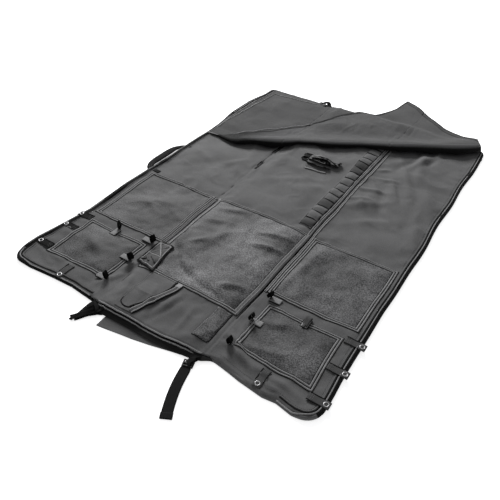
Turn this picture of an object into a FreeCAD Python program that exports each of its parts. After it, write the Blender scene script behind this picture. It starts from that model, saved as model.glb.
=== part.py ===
import FreeCAD, Part
import os
import re
import Sketcher

# Fold-out padded bag mat, lying open: a centre panel on an underside pouch and two wings that fold over it.
# Frame: millimetres, origin on the ground under the centre line of the mat, 650 in from its far edge, +X to the
# right wing, +Y from the near edge to the far edge, +Z up. Places along the mat are counted from the pattern line,
# which lies near_margin in from the near edge and mat_length from the far edge.

DIMENSIONS = {
    "mat_width": 890,
    "mat_length": 1300,
    "near_margin": 25,
    "fold_half": 160,
    "fold_gap": 1,
    "trim": 3,
    "zip_low": 3,
    "zip_height": 4,
    "skin": 1,
    "foam_depth": 8,
    "wing_top": 10,
    "centre_base": 10,
    "centre_top": 20,
    "foam_inset": 8,
    "corner_radius": 28,
    "grip_depth": 2,
    "binding": 9,
    "upper_grip_width": 245,
    "upper_grip_length": 260,
    "upper_grip_inner": 175,
    "upper_grip_near": 245,
    "lower_grip_width": 200,
    "lower_grip_length": 165,
    "lower_grip_inner": 200,
    "lower_grip_near": 45,
    "centre_grip_width": 300,
    "centre_grip_length": 365,
    "centre_grip_near": 135,
    "tab_width": 20,
    "tab_length": 52,
    "tab_web": 1.6,
    "tab_root": 403,
    "tab_lift": 10.9,
    "eyelet_reach": 43,
    "eyelet_hole": 4,
    "eyelet_barrel": 5,
    "eyelet_flange": 8,
    "eyelet_plate": 0.6,
    "near_tab_place": 300,
    "near_tab_root": 36,
    "inner_tab_first": 228,
    "inner_tab_pitch": 89,
    "top_tab_place": 305,
    "top_tab_root": 214,
    "loop_radius": 11,
    "loop_web": 2,
    "loop_clear": 0.4,
    "loop_space": 3.5,
    "cover_near": 827,
    "cover_right_end": 1290,
    "cover_half": 440,
    "cover_skin": 2,
    "cover_rise": 26,
    "cover_tip_across": 67,
    "cover_tip_along": 1552,
    "drop_start": 1305,
    "drop_end": 1345,
    "air_gap": 0.3,
    "ladder_width": 38,
    "ladder_near": 530,
    "ladder_length": 580,
    "ladder_place": 127,
    "ladder_pitch": 38,
    "ladder_rise": 3,
    "ladder_web": 1.2,
    "ladder_count": 15,
    "handle_near": 521,
    "handle_far": 702,
    "handle_reach": 34,
    "handle_band": 10,
    "handle_depth": 6,
    "handle_root": 456,
    "handle_low": 2,
    "anchor_depth": 3,
    "anchor_reach": 5.5,
    "far_buckle_place": 224,
    "far_buckle_width": 24,
    "far_buckle_length": 18,
    "buckle_along": 870,
    "buckle_width": 30,
    "buckle_body": 34,
    "buckle_depth": 9,
    "buckle_wall": 2.2,
    "tongue_length": 20,
    "plug_body": 26,
    "patch_width": 76,
    "patch_length": 56,
    "buckle_tape": 60,
    "strap_width": 25,
    "strap_web": 1.6,
    "strap_length": 161,
    "strap_lift": 2.4,
    "strap_angle": 15.6,
    "strap_root": 130,
    "slider_length": 14,
    "slider_depth": 6,
    "slider_width": 6,
    "slider_low": 2,
    "left_slider_near": 726,
    "right_slider_near": 1236,
    "near_slider_place": -130,
    "near_zip_low": 11.5,
    "near_zip_height": 5,
    "near_zip_width": 300,
    "pouch_inset": 9,
    "pouch_corner": 12,
    "centre_corner": 10,
    "grip_corner": 6,
    "anchor_place": 158,
    "anchor_width": 50,
    "anchor_length": 108,
    "hook_place": 108,
    "hook_near": 14,
    "hook_width": 40,
    "hook_length": 111,
    "patch_depth": 1.5,
    "patch_lift": 0.2,
    "flap_depth": 1.2,
    "bundle_depth": 10,
    "adjuster_length": 22,
    "adjuster_start": 34,
    "strap_start": 29,
    "adjuster_wall": 3.5,
}

# Places of the flat side tabs, of each wing, from the pattern line
OUTER_TABS = {"left": (212, 152, 61), "right": (212, 120, 28)}

# Plan outlines of the flat pieces that aren't rectangles, as (across, along)
SLIP_POCKET = [(-155, 8), (-100, 8), (-50, 14), (-12, 132), (-104, 132), (-155, 128)]
POUCH_FLAP = [(-108, -28), (-108, -74), (0, -52), (112, -36), (112, -28)]
STRAP_BUNDLE = [(-149, -26), (-114, -26), (-140, -62), (-176, -100), (-172, -44)]

doc = FreeCAD.newDocument("fold_out_mat")
sheet = doc.addObject("Spreadsheet::Sheet", "dims")
for row, (alias, value) in enumerate(DIMENSIONS.items(), start=1):
    sheet.set(f"A{row}", alias)
    sheet.set(f"B{row}", str(value))
    sheet.setAlias(f"B{row}", alias)
doc.recompute()

nodes = []
X_AXIS = FreeCAD.Vector(1, 0, 0)
Z_AXIS = FreeCAD.Vector(0, 0, 1)


def cells(formula):
    """The formula with each named dimension read from the sheet."""
    return re.sub(r"[a-z][a-z_]+", lambda word: "dims." + word.group(0), str(formula))


def bind(target, sizes):
    for name, formula in sizes.items():
        target.setExpression(name, cells(formula))


def place(target, x, y, z):
    """Puts an object at x, y, z, with y counted from the pattern line."""
    bind(target, {
        "Placement.Base.x": x,
        "Placement.Base.y": f"({y}) - mat_length / 2",
        "Placement.Base.z": z,
    })


def keep(target, label):
    target.Label = label
    nodes.append(target)
    return target


def block(label, size, corner):
    """A box with its low corner at the given place."""
    box = doc.addObject("Part::Box", "block")
    bind(box, dict(zip(("Length", "Width", "Height"), size)))
    place(box, *corner)
    return keep(box, label) if label else box


def rod(radius, height, corner, sweep=360):
    cylinder = doc.addObject("Part::Cylinder", "rod")
    bind(cylinder, {"Radius": radius, "Height": height})
    cylinder.Angle = sweep
    place(cylinder, *corner)
    return cylinder


def cut(label, base, tool):
    result = doc.addObject("Part::Cut", "cut")
    result.Base = base
    result.Tool = tool
    return keep(result, label) if label else result


def fuse(label, pieces):
    result = doc.addObject("Part::MultiFuse", "fuse")
    result.Shapes = pieces
    return keep(result, label) if label else result


def group(label, pieces):
    """Separate solids that share one node."""
    result = doc.addObject("Part::Compound", "group")
    result.Links = pieces
    return keep(result, label)


def role_plane(body, role):
    return next(f for f in body.Origin.OriginFeatures if f.Role == role)


def polygon_body(corners, depth, origin, role="XY_Plane"):
    """A pad of a closed outline whose every corner is bound to the sheet."""
    body = doc.addObject("PartDesign::Body", "panel")
    sketch = body.newObject("Sketcher::SketchObject", "outline")
    sketch.AttachmentSupport = [(role_plane(body, role), "")]
    sketch.MapMode = "FlatFace"
    value = [tuple(float(sheet_value(f)) for f in corner) for corner in corners]
    count = len(corners)
    for i in range(count):
        start = FreeCAD.Vector(*value[i], 0)
        end = FreeCAD.Vector(*value[(i + 1) % count], 0)
        sketch.addGeometry(Part.LineSegment(start, end))
    for i in range(count):
        sketch.addConstraint(Sketcher.Constraint("Coincident", i, 2, (i + 1) % count, 1))
    for i, corner in enumerate(corners):
        for axis, kind in enumerate(("DistanceX", "DistanceY")):
            number = sketch.addConstraint(Sketcher.Constraint(kind, -1, 1, i, 1, value[i][axis]))
            name = f"corner_{i}_{kind}"
            sketch.renameConstraint(number, name)
            sketch.setExpression(f"Constraints.{name}", cells(corner[axis]))
    pad = body.newObject("PartDesign::Pad", "pad")
    pad.Profile = sketch
    pad.setExpression("Length", cells(depth))
    body.Tip = pad
    place(body, *origin)
    return body


def sheet_value(formula):
    """The present value of a formula, for the first draft of a sketch."""
    return float(sheet.evalExpression(cells(formula)))


def rectangle(width, length):
    """Corners of a rectangle from the origin, going round."""
    return [(0, 0), (width, 0), (width, length), (0, length)]


def round_corners(body, radius, across):
    """Rounds the upright edges whose x is the given one."""
    doc.recompute()
    pad = body.Tip
    names = []
    for number, edge in enumerate(pad.Shape.Edges, start=1):
        ends = [v.Point for v in edge.Vertexes]
        upright = len(ends) == 2 and abs(ends[0].x - ends[1].x) + abs(ends[0].y - ends[1].y) < 1e-6
        if upright and any(abs(ends[0].x - x) < 1e-6 for x in across):
            names.append(f"Edge{number}")
    fillet = body.newObject("PartDesign::Fillet", "round")
    fillet.Base = (pad, names)
    fillet.setExpression("Radius", cells(radius))
    body.Tip = fillet
    return body


def slab(label, width, length, depth, origin, radius=None, rounded="both"):
    """A flat pad with rounded upright corners at its low x, its high x or both."""
    body = polygon_body(rectangle(width, length), depth, origin)
    if radius:
        across = {"low": (0,), "high": (sheet_value(width),), "both": (0, sheet_value(width))}[rounded]
        round_corners(body, radius, across)
    return keep(body, label)


def ring_frame(width, length, origin):
    """The sewn binding round a grip panel: a flat rectangular frame."""
    x, y, z = origin
    outer = polygon_body(rectangle(width, length), "grip_depth", origin)
    inside = rectangle(f"{width} - 2 * binding", f"{length} - 2 * binding")
    inner = polygon_body(inside, "grip_depth", (f"{x} + binding", f"{y} + binding", z))
    return cut(None, outer, inner)


def mirror_x(side, near, width):
    """Low x of something whose inner edge is at distance `near` from the middle, on either side."""
    return near if side > 0 else f"-({near}) - ({width})"


# ---------------------------------------------------------------- wings

PANEL_WIDTH = "mat_width / 2 - trim - fold_half - fold_gap"
BAND_LENGTH = "mat_length + near_margin"
PANEL_LENGTH = f"{BAND_LENGTH} - 2 * trim"
PANEL_NEAR = "trim - near_margin"


def wing_panels(side, name):
    """Outer shell, foam pad and liner of one wing, with the zipper band round its three free sides."""
    x = mirror_x(side, "fold_half + fold_gap", PANEL_WIDTH)
    free = "high" if side > 0 else "low"
    slab(f"{name}_outer_shell", PANEL_WIDTH, PANEL_LENGTH, "skin", (x, PANEL_NEAR, 0), "corner_radius", free)
    foam_width = f"{PANEL_WIDTH} - 2 * foam_inset"
    slab(f"{name}_foam_pad", foam_width, f"{PANEL_LENGTH} - 2 * foam_inset", "foam_depth",
         (f"{x} + foam_inset", f"{PANEL_NEAR} + foam_inset", "skin"), "corner_radius - foam_inset", free)
    liner_corner = (x, PANEL_NEAR, "wing_top - skin")
    slab(f"{name}_liner", PANEL_WIDTH, PANEL_LENGTH, "skin", liner_corner, "corner_radius", free)
    band_width = f"{PANEL_WIDTH} + trim"
    band_x = x if side > 0 else f"{x} - trim"
    outer = polygon_body(rectangle(band_width, BAND_LENGTH), "zip_height", (band_x, "-near_margin", "zip_low"))
    round_corners(outer, "corner_radius + trim", (0,) if side < 0 else (sheet_value(band_width),))
    hole_x = f"{x} - 1" if side > 0 else x
    hole_size = rectangle(f"{PANEL_WIDTH} + 1", PANEL_LENGTH)
    hole = polygon_body(hole_size, "zip_height", (hole_x, PANEL_NEAR, "zip_low"))
    round_corners(hole, "corner_radius", (0,) if side < 0 else (sheet_value(f"{PANEL_WIDTH} + 1"),))
    cut(f"{name}_edge_zipper", outer, hole)


def grip(label, width, length, corner):
    """A pebbled non-slip panel inside its sewn binding."""
    x, y, z = corner
    slab(label, f"{width} - 2 * binding", f"{length} - 2 * binding", "grip_depth",
         (f"{x} + binding", f"{y} + binding", z))
    return ring_frame(width, length, corner)


def eyelet(x, y):
    """A metal eyelet: barrel and two flanges, standing upright in the webbing."""
    low = "tab_lift - eyelet_plate"
    height = "tab_web + 2 * eyelet_plate"
    flange_low = rod("eyelet_flange", "eyelet_plate", (x, y, low))
    flange_high = rod("eyelet_flange", "eyelet_plate", (x, y, "tab_lift + tab_web"))
    barrel = rod("eyelet_barrel", height, (x, y, low))
    bore = rod("eyelet_hole", height, (x, y, low))
    return cut(None, fuse(None, [flange_low, flange_high, barrel]), bore)


def webbing_with_hole(size, corner, x, y):
    strip = block(None, size, corner)
    hole = rod("eyelet_barrel + 0.1", "tab_web", (x, y, "tab_lift"))
    return cut(None, strip, hole)


def outer_tab(side, label, along):
    """A flat webbing tab over the side edge, with an eyelet near its end."""
    x = mirror_x(side, "tab_root", "tab_length")
    eye_x = "tab_root + eyelet_reach" if side > 0 else "-(tab_root + eyelet_reach)"
    corner = (x, f"{along} - tab_width / 2", "tab_lift")
    strip = webbing_with_hole(("tab_length", "tab_width", "tab_web"), corner, eye_x, along)
    group(label, [strip, eyelet(eye_x, along)])


def near_tab(side, label):
    """A flat webbing tab over the near edge, with an eyelet near its end."""
    x = f"{side} * near_tab_place"
    eye_y = "near_tab_root - eyelet_reach"
    corner = (f"{x} - tab_width / 2", "near_tab_root - tab_length", "tab_lift")
    strip = webbing_with_hole(("tab_width", "tab_length", "tab_web"), corner, x, eye_y)
    group(label, [strip, eyelet(x, eye_y)])


def loop_tab(label, x, y, across):
    """A webbing tab curled over in a half ring; across is True where it curls along X."""
    rest = "wing_top + loop_clear"
    turn = FreeCAD.Rotation(X_AXIS, 90) if across else FreeCAD.Rotation(Z_AXIS, 90) * FreeCAD.Rotation(X_AXIS, 90)
    start_x, start_y = (x, f"{y} + tab_width / 2") if across else (f"{x} - tab_width / 2", y)
    outer = rod("loop_radius", "tab_width", (start_x, start_y, rest), 180)
    inner = rod("loop_radius - loop_web", "tab_width", (start_x, start_y, rest), 180)
    for part in (outer, inner):
        part.Placement.Rotation = turn
    cut(label, outer, inner)


def slider(label, x, y, z, along_y=True):
    """A zip slider body with its pull lying along it."""
    size = ("slider_width", "slider_length", "slider_depth")
    block(label, size if along_y else (size[1], size[0], size[2]), (x, y, z))


def wing(side, name):
    wing_panels(side, name)
    frames = []
    for level in ("upper", "lower"):
        width, length = f"{level}_grip_width", f"{level}_grip_length"
        corner = (mirror_x(side, f"{level}_grip_inner", width), f"{level}_grip_near", "wing_top")
        frames.append(grip(f"{name}_{level}_grip", width, length, corner))
    group(f"{name}_grip_bindings", frames)
    for number, along in enumerate(OUTER_TABS[name]):
        outer_tab(side, f"{name}_outer_tab_{number + 1}", along)
        middle = f"{side} * (lower_grip_inner - loop_radius - loop_space)"
        loop_tab(f"{name}_inner_tab_{number + 1}", middle, f"inner_tab_first - {number} * inner_tab_pitch", True)
    near_tab(side, f"{name}_near_tab")
    loop_tab(f"{name}_top_tab", f"{side} * top_tab_place", "top_tab_root + loop_radius", False)


wing(-1, "left")
wing(1, "right")
slider("left_zip_slider", "-mat_width / 2 - air_gap - slider_width", "left_slider_near", "slider_low")
slider("right_zip_slider", "mat_width / 2 + air_gap", "right_slider_near", "slider_low")


# ---------------------------------------------------------------- carry handle on the left edge

def carry_handle():
    length = "handle_far - handle_near"
    corner = ("-handle_root - handle_reach", "handle_near", "handle_low")
    outer = polygon_body(rectangle("handle_reach", length), "handle_depth", corner)
    round_corners(outer, "handle_band", (0,))
    inner_width = "handle_reach - handle_band + 1"
    inner_corner = ("-handle_root - handle_reach + handle_band", "handle_near + handle_band", "handle_low")
    inner = polygon_body(rectangle(inner_width, f"{length} - 2 * handle_band"), "handle_depth", inner_corner)
    cut("carry_handle", outer, inner)
    anchor = ("anchor_reach", "handle_band", "anchor_depth")
    low = "-mat_width / 2 - anchor_reach"
    height = "handle_low + anchor_depth / 2"
    group("handle_anchors", [
        block(None, anchor, (low, "handle_near", height)),
        block(None, anchor, (low, "handle_far - handle_band", height)),
    ])


carry_handle()
block("far_edge_buckle", ("far_buckle_width", "far_buckle_length", "slider_depth"),
      ("-far_buckle_place", "mat_length + 1", "slider_low"))


# ---------------------------------------------------------------- centre

CENTRE_WIDTH = "2 * (fold_half - fold_gap)"
CENTRE_LOW = "-(fold_half - fold_gap)"


def centre_panels():
    slab("under_pouch", f"{CENTRE_WIDTH} - 2 * pouch_inset", PANEL_LENGTH, "centre_base",
         (f"{CENTRE_LOW} + pouch_inset", PANEL_NEAR, 0), "pouch_corner")
    slab("centre_outer_shell", CENTRE_WIDTH, PANEL_LENGTH, "skin", (CENTRE_LOW, PANEL_NEAR, "centre_base"))
    slab("centre_foam_pad", f"{CENTRE_WIDTH} - 2 * foam_inset", f"{PANEL_LENGTH} - 2 * foam_inset", "foam_depth",
         (f"{CENTRE_LOW} + foam_inset", f"{PANEL_NEAR} + foam_inset", "centre_base + skin"), "centre_corner")
    slab("centre_liner", CENTRE_WIDTH, PANEL_LENGTH, "skin", (CENTRE_LOW, PANEL_NEAR, "centre_top - skin"))
    slab("centre_grip", "centre_grip_width", "centre_grip_length", "grip_depth",
         ("-centre_grip_width / 2", "centre_grip_near", "centre_top"), "grip_corner")
    block("near_zipper", ("near_zip_width", "trim", "near_zip_height"),
          ("-near_zip_width / 2", "-near_margin", "near_zip_low"))
    slider("near_zip_slider", "near_slider_place", "-near_margin - air_gap - slider_width",
           "near_zip_low - 0.5", False)


def ladder_webbing():
    """Daisy-chain webbing: a flat strip with raised loops sewn down between them."""
    x = "ladder_place - ladder_width / 2"
    base = block(None, ("ladder_width", "ladder_length", "ladder_web"), (x, "ladder_near", "centre_top"))
    loops = [base]
    for number in range(DIMENSIONS["ladder_count"]):
        start = f"ladder_near + 5 + {number} * ladder_pitch"
        rise = "centre_top + ladder_web"
        arch = block(None, ("ladder_width", "ladder_pitch - 6", "ladder_rise"), (x, start, rise))
        gap_size = ("ladder_width", "ladder_pitch - 14", "ladder_rise - ladder_web")
        gap = block(None, gap_size, (x, f"{start} + 4", rise))
        loops.append(cut(None, arch, gap))
    fuse("ladder_webbing", loops)


def slip_pocket():
    """Flat pocket with a slanted bound mouth, near the left of the near edge."""
    keep(polygon_body(SLIP_POCKET, "grip_depth", (0, 0, "centre_top")), "slip_pocket")


def release_buckle():
    """Side-release buckle on a sewn patch: a socket, and a plug that draws out to the right."""
    y = "buckle_along - buckle_width / 2"
    z = "centre_top + 2.5"
    block("buckle_patch", ("patch_width", "patch_length", "ladder_web"),
          ("-patch_width / 2", "buckle_along - patch_length / 2", "centre_top"))
    block("buckle_webbing", ("buckle_tape", "strap_width", "strap_web"),
          ("-buckle_body - 2 - buckle_tape", "buckle_along - strap_width / 2", "centre_top + 5"))
    shell = block(None, ("buckle_body", "buckle_width", "buckle_depth"), ("-buckle_body - 2", y, z))
    inside = ("buckle_width - 2 * buckle_wall", "buckle_depth - 2 * buckle_wall")
    cavity = block(None, ("tongue_length + 2", *inside),
                   ("-tongue_length - 4", f"{y} + buckle_wall", f"{z} + buckle_wall"))
    cut("buckle_socket", shell, cavity)
    body = block(None, ("plug_body", "buckle_width", "buckle_depth - 1"), ("-2 + air_gap", y, f"{z} + 0.5"))
    tongue = block(None, ("tongue_length", f"{inside[0]} - 1", f"{inside[1]} - 1"),
                   ("-2 + air_gap - tongue_length", f"{y} + buckle_wall + 0.5", f"{z} + buckle_wall + 0.5"))
    fuse("buckle_plug", [body, tongue])


centre_panels()
ladder_webbing()
slip_pocket()
release_buckle()
block("anchor_patch", ("anchor_width", "anchor_length", "patch_depth"),
      ("-anchor_place", "centre_grip_near", "centre_top + grip_depth + patch_lift"))
block("hook_loop_strip", ("hook_width", "hook_length", "patch_depth"), ("hook_place", "hook_near", "centre_top"))


# ---------------------------------------------------------------- under-flap and loose straps at the near edge

def near_edge_pieces():
    keep(polygon_body(POUCH_FLAP, "flap_depth", (0, 0, 0)), "pouch_flap")
    keep(polygon_body(STRAP_BUNDLE, "bundle_depth", (0, 0, "air_gap")), "strap_bundle")
    strap = block("strap_tail", ("strap_width", "strap_length", "strap_web"), (0, 0, "strap_lift"))
    turn = FreeCAD.Rotation(Z_AXIS, 180 + DIMENSIONS["strap_angle"])
    strap.Placement.Rotation = turn
    half = DIMENSIONS["strap_width"] / 2
    place_turned(strap, turn, (-half, DIMENSIONS["strap_start"]))
    length = "adjuster_length"
    outer_width = "strap_width + 2 + 2 * adjuster_wall"
    outer = block(None, (outer_width, length, "strap_web + 4.4"), (0, 0, "strap_lift - 2.2"))
    slot = block(None, ("strap_width + 2", length, "strap_web + 1"), (0, 0, "strap_lift - 0.5"))
    for piece, margin in ((outer, 1 + DIMENSIONS["adjuster_wall"]), (slot, 1)):
        piece.Placement.Rotation = turn
        place_turned(piece, turn, (-half - margin, DIMENSIONS["adjuster_start"]))
    cut("strap_adjuster", outer, slot)


def place_turned(piece, turn, offset):
    """Moves a turned piece so that it starts at the strap's root, offset across and along the strap."""
    shift = turn.multVec(FreeCAD.Vector(*offset, 0))
    bind(piece, {
        "Placement.Base.x": f"strap_root + ({shift.x})",
        "Placement.Base.y": f"({shift.y}) - mat_length / 2",
    })


near_edge_pieces()


# ---------------------------------------------------------------- cover, turned back over its diagonal

def common(plan, limit):
    result = doc.addObject("Part::Common", "common")
    result.Base = plan
    result.Tool = limit
    return result


def cover_base(x, width, top):
    """The cloth that still lies on the lining between two x planes: the corner triangle beyond the fold."""
    corners = [("-cover_half", "cover_near + 6"), ("cover_half", "cover_right_end + 4"),
               ("-cover_half", "mat_length - 4")]
    plan = polygon_body(corners, "cover_skin", (0, 0, f"{top} + air_gap"))
    return common(plan, block(None, (width, "mat_length", 60), (x, 0, 0)))


def cover_turned(x, width):
    """The cloth turned back over the fold between two x planes: flat, then down over the far edge to the ground."""
    corners = [("-cover_half + 2", "cover_near + 10"), ("cover_half", "cover_right_end + 6"),
               ("cover_tip_across", "cover_tip_along")]
    plan = polygon_body(corners, 60, (0, 0, 0))
    side_view = [("cover_near", "cover_rise"), ("drop_start", "cover_rise"), ("drop_end", "air_gap"),
                 ("cover_tip_along", "air_gap"), ("cover_tip_along", "air_gap + cover_skin"),
                 ("drop_end + 1", "air_gap + cover_skin"), ("drop_start + 1", "cover_rise + cover_skin"),
                 ("cover_near", "cover_rise + cover_skin")]
    return common(plan, polygon_body(side_view, width, (x, 0, 0), "YZ_Plane"))


def cover():
    reach = "cover_half - fold_half - fold_gap"
    strips = {
        "left": ("-cover_half", reach, "wing_top"),
        "centre": (CENTRE_LOW, CENTRE_WIDTH, "centre_top"),
        "right": ("fold_half + fold_gap", reach, "wing_top"),
    }
    for name, (x, width, top) in strips.items():
        keep(cover_base(x, width, top), f"cover_base_{name}")
        keep(cover_turned(x, width), f"cover_turned_{name}")


cover()


# ---------------------------------------------------------------- checks and export

def export_nodes():
    doc.recompute()
    for item in doc.Objects:
        if "Invalid" in item.State or "Error" in item.State:
            raise RuntimeError(f"{item.Label} failed: {item.State}")
    os.makedirs("parts", exist_ok=True)
    for node in nodes:
        shape = node.Shape
        if shape.isNull() or not shape.isValid() or not shape.Solids:
            raise RuntimeError(f"{node.Label} has no valid solid")
        shape.exportStep(f"parts/{node.Label}.step")
        box = shape.BoundBox
        print(f"{node.Label:24s} solids {len(shape.Solids)} volume {shape.Volume:12.1f} "
              f"x {box.XMin:.1f}..{box.XMax:.1f} y {box.YMin:.1f}..{box.YMax:.1f} z {box.ZMin:.1f}..{box.ZMax:.1f}")
    print(len(nodes), "nodes")


export_nodes()
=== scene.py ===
import math
from contextlib import contextmanager

import bmesh
import bpy
import numpy as np
from mathutils import Matrix, Vector


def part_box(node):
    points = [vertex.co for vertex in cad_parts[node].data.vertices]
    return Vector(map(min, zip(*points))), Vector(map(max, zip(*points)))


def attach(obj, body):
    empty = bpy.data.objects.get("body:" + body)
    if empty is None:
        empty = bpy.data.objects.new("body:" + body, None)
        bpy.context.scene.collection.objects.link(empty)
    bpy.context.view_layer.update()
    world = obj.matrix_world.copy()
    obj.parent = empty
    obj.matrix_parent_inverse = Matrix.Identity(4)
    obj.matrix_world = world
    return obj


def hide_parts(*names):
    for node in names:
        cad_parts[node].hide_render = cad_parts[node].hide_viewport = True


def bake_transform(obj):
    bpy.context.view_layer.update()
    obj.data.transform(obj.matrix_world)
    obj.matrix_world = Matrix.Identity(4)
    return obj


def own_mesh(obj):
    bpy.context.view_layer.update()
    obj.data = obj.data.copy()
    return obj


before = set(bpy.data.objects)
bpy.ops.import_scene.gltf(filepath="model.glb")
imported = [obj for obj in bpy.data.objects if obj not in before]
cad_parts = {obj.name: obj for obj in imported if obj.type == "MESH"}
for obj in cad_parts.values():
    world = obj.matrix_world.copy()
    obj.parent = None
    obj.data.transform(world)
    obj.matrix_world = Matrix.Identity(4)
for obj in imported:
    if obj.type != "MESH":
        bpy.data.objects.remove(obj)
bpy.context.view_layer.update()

# A fold-out padded bag mat lying open. Lengths are millimetres in this script and metres in the scene.
MM = 0.001


def span(*nodes):
    """Lowest and highest corner of some nodes at rest, in millimetres."""
    corners = [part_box(node) for node in nodes]
    low = np.min([c[0] for c in corners], axis=0) / MM
    high = np.max([c[1] for c in corners], axis=0) / MM
    return low, high


# ---------------------------------------------------------------- driving places, read from the frame

LEFT, RIGHT = span("left_liner"), span("right_liner")
CENTRE = span("centre_liner")
FOLD = (RIGHT[0][0] + CENTRE[1][0]) / 2
NEAR, FAR = LEFT[0][1], LEFT[1][1]
OUTER = RIGHT[1][0]
WING_TOP = LEFT[1][2]
CORNERS = {"left": (24.0, 14.0), "right": (36.0, 22.0)}
GRIP_PUFF = {"left_upper": 2.0, "left_lower": 1.6, "right_upper": 2.2, "right_lower": 1.8, "centre": 7.0}
GRIPS = {name: span(f"{name}_grip") for name in GRIP_PUFF}
BINDING = 9.0
SIGN = {"left": -1, "right": 1}
BODY_OF_SIDE = {"left": "left_wing", "right": "right_wing", "centre": "mat_centre"}

# Wrinkles laid one by one: x0, y0, x1, y1 along the crest, half width, height
FOLDS = (
    (160, 165, 262, 190, 9, 2.6), (152, 262, 250, 176, 11, 2.4), (214, 430, 330, 195, 16, 3.4),
    (271, 506, 318, 290, 18, 3.4), (153, 93, 240, 128, 8, 1.8), (180, 60, 290, 150, 14, 2.0),
    (330, 330, 415, 120, 22, 2.4), (210, -20, 330, 60, 16, 1.6), (230, 300, 280, 150, 12, 1.8),
    (43, -283, 138, -262, 9, 3.2), (30, -232, 140, -205, 9, 2.4), (66, -470, 132, -438, 10, 3.4),
    (-120, -190, -40, -168, 10, 2.2), (-140, -260, -60, -240, 12, 2.0), (190, -390, 215, -200, 14, 3.0),
    (228, -585, 320, -560, 12, 2.4), (220, -500, 300, -470, 14, 2.4), (-289, 20, -205, 100, 14, 1.8),
    (-400, 60, -300, 20, 16, 1.4), (-360, -500, -260, -540, 16, 2.2), (-390, -300, -240, -250, 20, 2.0),
    (172, -612, 262, -632, 8, 3.0), (262, -622, 400, -634, 9, 2.6), (165, -560, 235, -640, 9, 2.2),
    (-60, -560, -30, -640, 9, 2.4), (10, -540, -6, -640, 11, 2.6), (60, -560, 70, -640, 9, 2.0),
    (-168, -560, -205, -640, 10, 2.4), (-150, -480, -190, -560, 9, 2.0), (-300, -618, -420, -606, 10, 1.8),
    (-100, 30, 20, 110, 18, 1.4), (-60, 180, 30, 300, 18, 1.2), (-140, 100, -60, 20, 14, 1.2),
    (-131, -395, -60, -461, 13, -3.4), (-60, -461, 3, -488, 11, -3.2), (3, -488, 113, -509, 9, -2.0),
    (-100, -420, -30, -470, 9, 2.2), (-150, -530, -118, -610, 8, 2.6), (-175, -520, -150, -600, 8, -2.0),
    (20, -560, -12, -655, 9, -2.4), (-205, -440, -198, -500, 7, -1.6), (-204, -520, -198, -585, 7, -1.6),
    (200, -300, 260, -390, 14, 2.2), (300, 560, 330, 470, 13, 2.4), (250, 545, 262, 430, 11, -2.2),
    (360, 200, 420, -60, 16, 1.8), (240, 100, 330, 40, 12, -1.6), (190, 240, 300, 130, 10, -1.8),
    (262, 440, 226, 340, 15, -3.0), (300, 480, 262, 356, 14, 2.6), (322, 500, 300, 410, 12, -2.4),
    (176, 306, 214, 330, 8, 2.2), (186, 258, 262, 268, 8, 2.4), (250, 250, 300, 170, 9, 2.2),
    (262, 244, 312, 158, 7, -1.6), (230, 210, 280, 60, 14, -2.2), (176, 152, 232, 60, 10, 2.0),
    (185, -585, 250, -622, 7, 2.6), (205, -600, 262, -640, 6, 2.2), (190, -545, 205, -590, 6, 1.8),
    (290, -640, 350, -652, 6, 2.0), (-120, -365, -140, -300, 7, 2.0), (-100, -380, -60, -330, 9, 1.8),
)


# ---------------------------------------------------------------- height of the open mat

WAVES = 22
CENTRE_HEIGHT, CENTRE_RISE, CENTRE_SLOPE = 12.5, 7.0, 42
WING_SINK, WING_RISE, WING_SLOPE = 0.4, 2.4, 34
GROOVE_DEPTH, GROOVE_WIDTH = 5.0, 3.6
FOLD_STRENGTH = 2.3


def smooth(value):
    """Eases from 0 to 1 between 0 and 1."""
    value = np.clip(value, 0, 1)
    return value * value * (3 - 2 * value)


def ripples(x, y, seed, wavelength):
    """Seeded smooth noise of about unit size, made of plane waves."""
    random = np.random.default_rng(seed)
    total = np.zeros(np.broadcast(x, y).shape)
    for _ in range(WAVES):
        angle, phase = random.uniform(0, 2 * math.pi, 2)
        length = wavelength * random.uniform(0.6, 1.7)
        total += np.sin(2 * math.pi * (x * math.cos(angle) + y * math.sin(angle)) / length + phase)
    return total / math.sqrt(WAVES / 2)


def creases(x, y, seed, wavelength, sharp=0.35):
    """Thin wandering ridges that fade in and out."""
    line = np.exp(-(ripples(x, y, seed, wavelength) / sharp) ** 2)
    return line * smooth(0.5 + 0.6 * ripples(x, y, seed + 1, wavelength * 1.6))


def segment_distance(x, y, x0, y0, x1, y1):
    """Distance to a segment, and the share of the way along it."""
    dx, dy = x1 - x0, y1 - y0
    share = np.clip(((x - x0) * dx + (y - y0) * dy) / (dx * dx + dy * dy), 0, 1)
    return np.hypot(x - x0 - share * dx, y - y0 - share * dy), share


def grip_mask(x, y, name, margin=0.0):
    """1 inside a grip panel, falling to 0 at its border."""
    low, high = GRIPS[name]
    u = (2 * x - low[0] - high[0]) / (high[0] - low[0] + 2 * margin)
    v = (2 * y - low[1] - high[1]) / (high[1] - low[1] + 2 * margin)
    inside = (np.abs(u) < 1) & (np.abs(v) < 1)
    return np.where(inside, (1 - np.abs(u) ** 5) * (1 - np.abs(v) ** 5), 0)


def fold_line(side, y):
    """Where the crease of a fold lies, and how deep it is, along the mat."""
    if side == "right":
        depth = smooth((y + 532) / 36)
        return FOLD + 0 * y, 0.12 + 0.88 * depth
    taut = smooth((y + 425) / 25) * smooth((-135 - y) / 25)
    loose = smooth((y + 160) / 40)
    wander = 10 + 5 * ripples(0 * y, y, 15, 120)
    depth = taut + loose * np.clip(0.55 + 0.6 * ripples(0 * y, y, 16, 60), 0.1, 1.2) + 0.12
    return -(FOLD + loose * wander + (1 - taut) * (1 - loose) * 8), np.clip(depth, 0, 1.2)


RELIEF = {}
RELIEF_STEP = 9.0
RELIEF_CAP = 3.8
RELIEF_SHARE = 0.6


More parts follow.
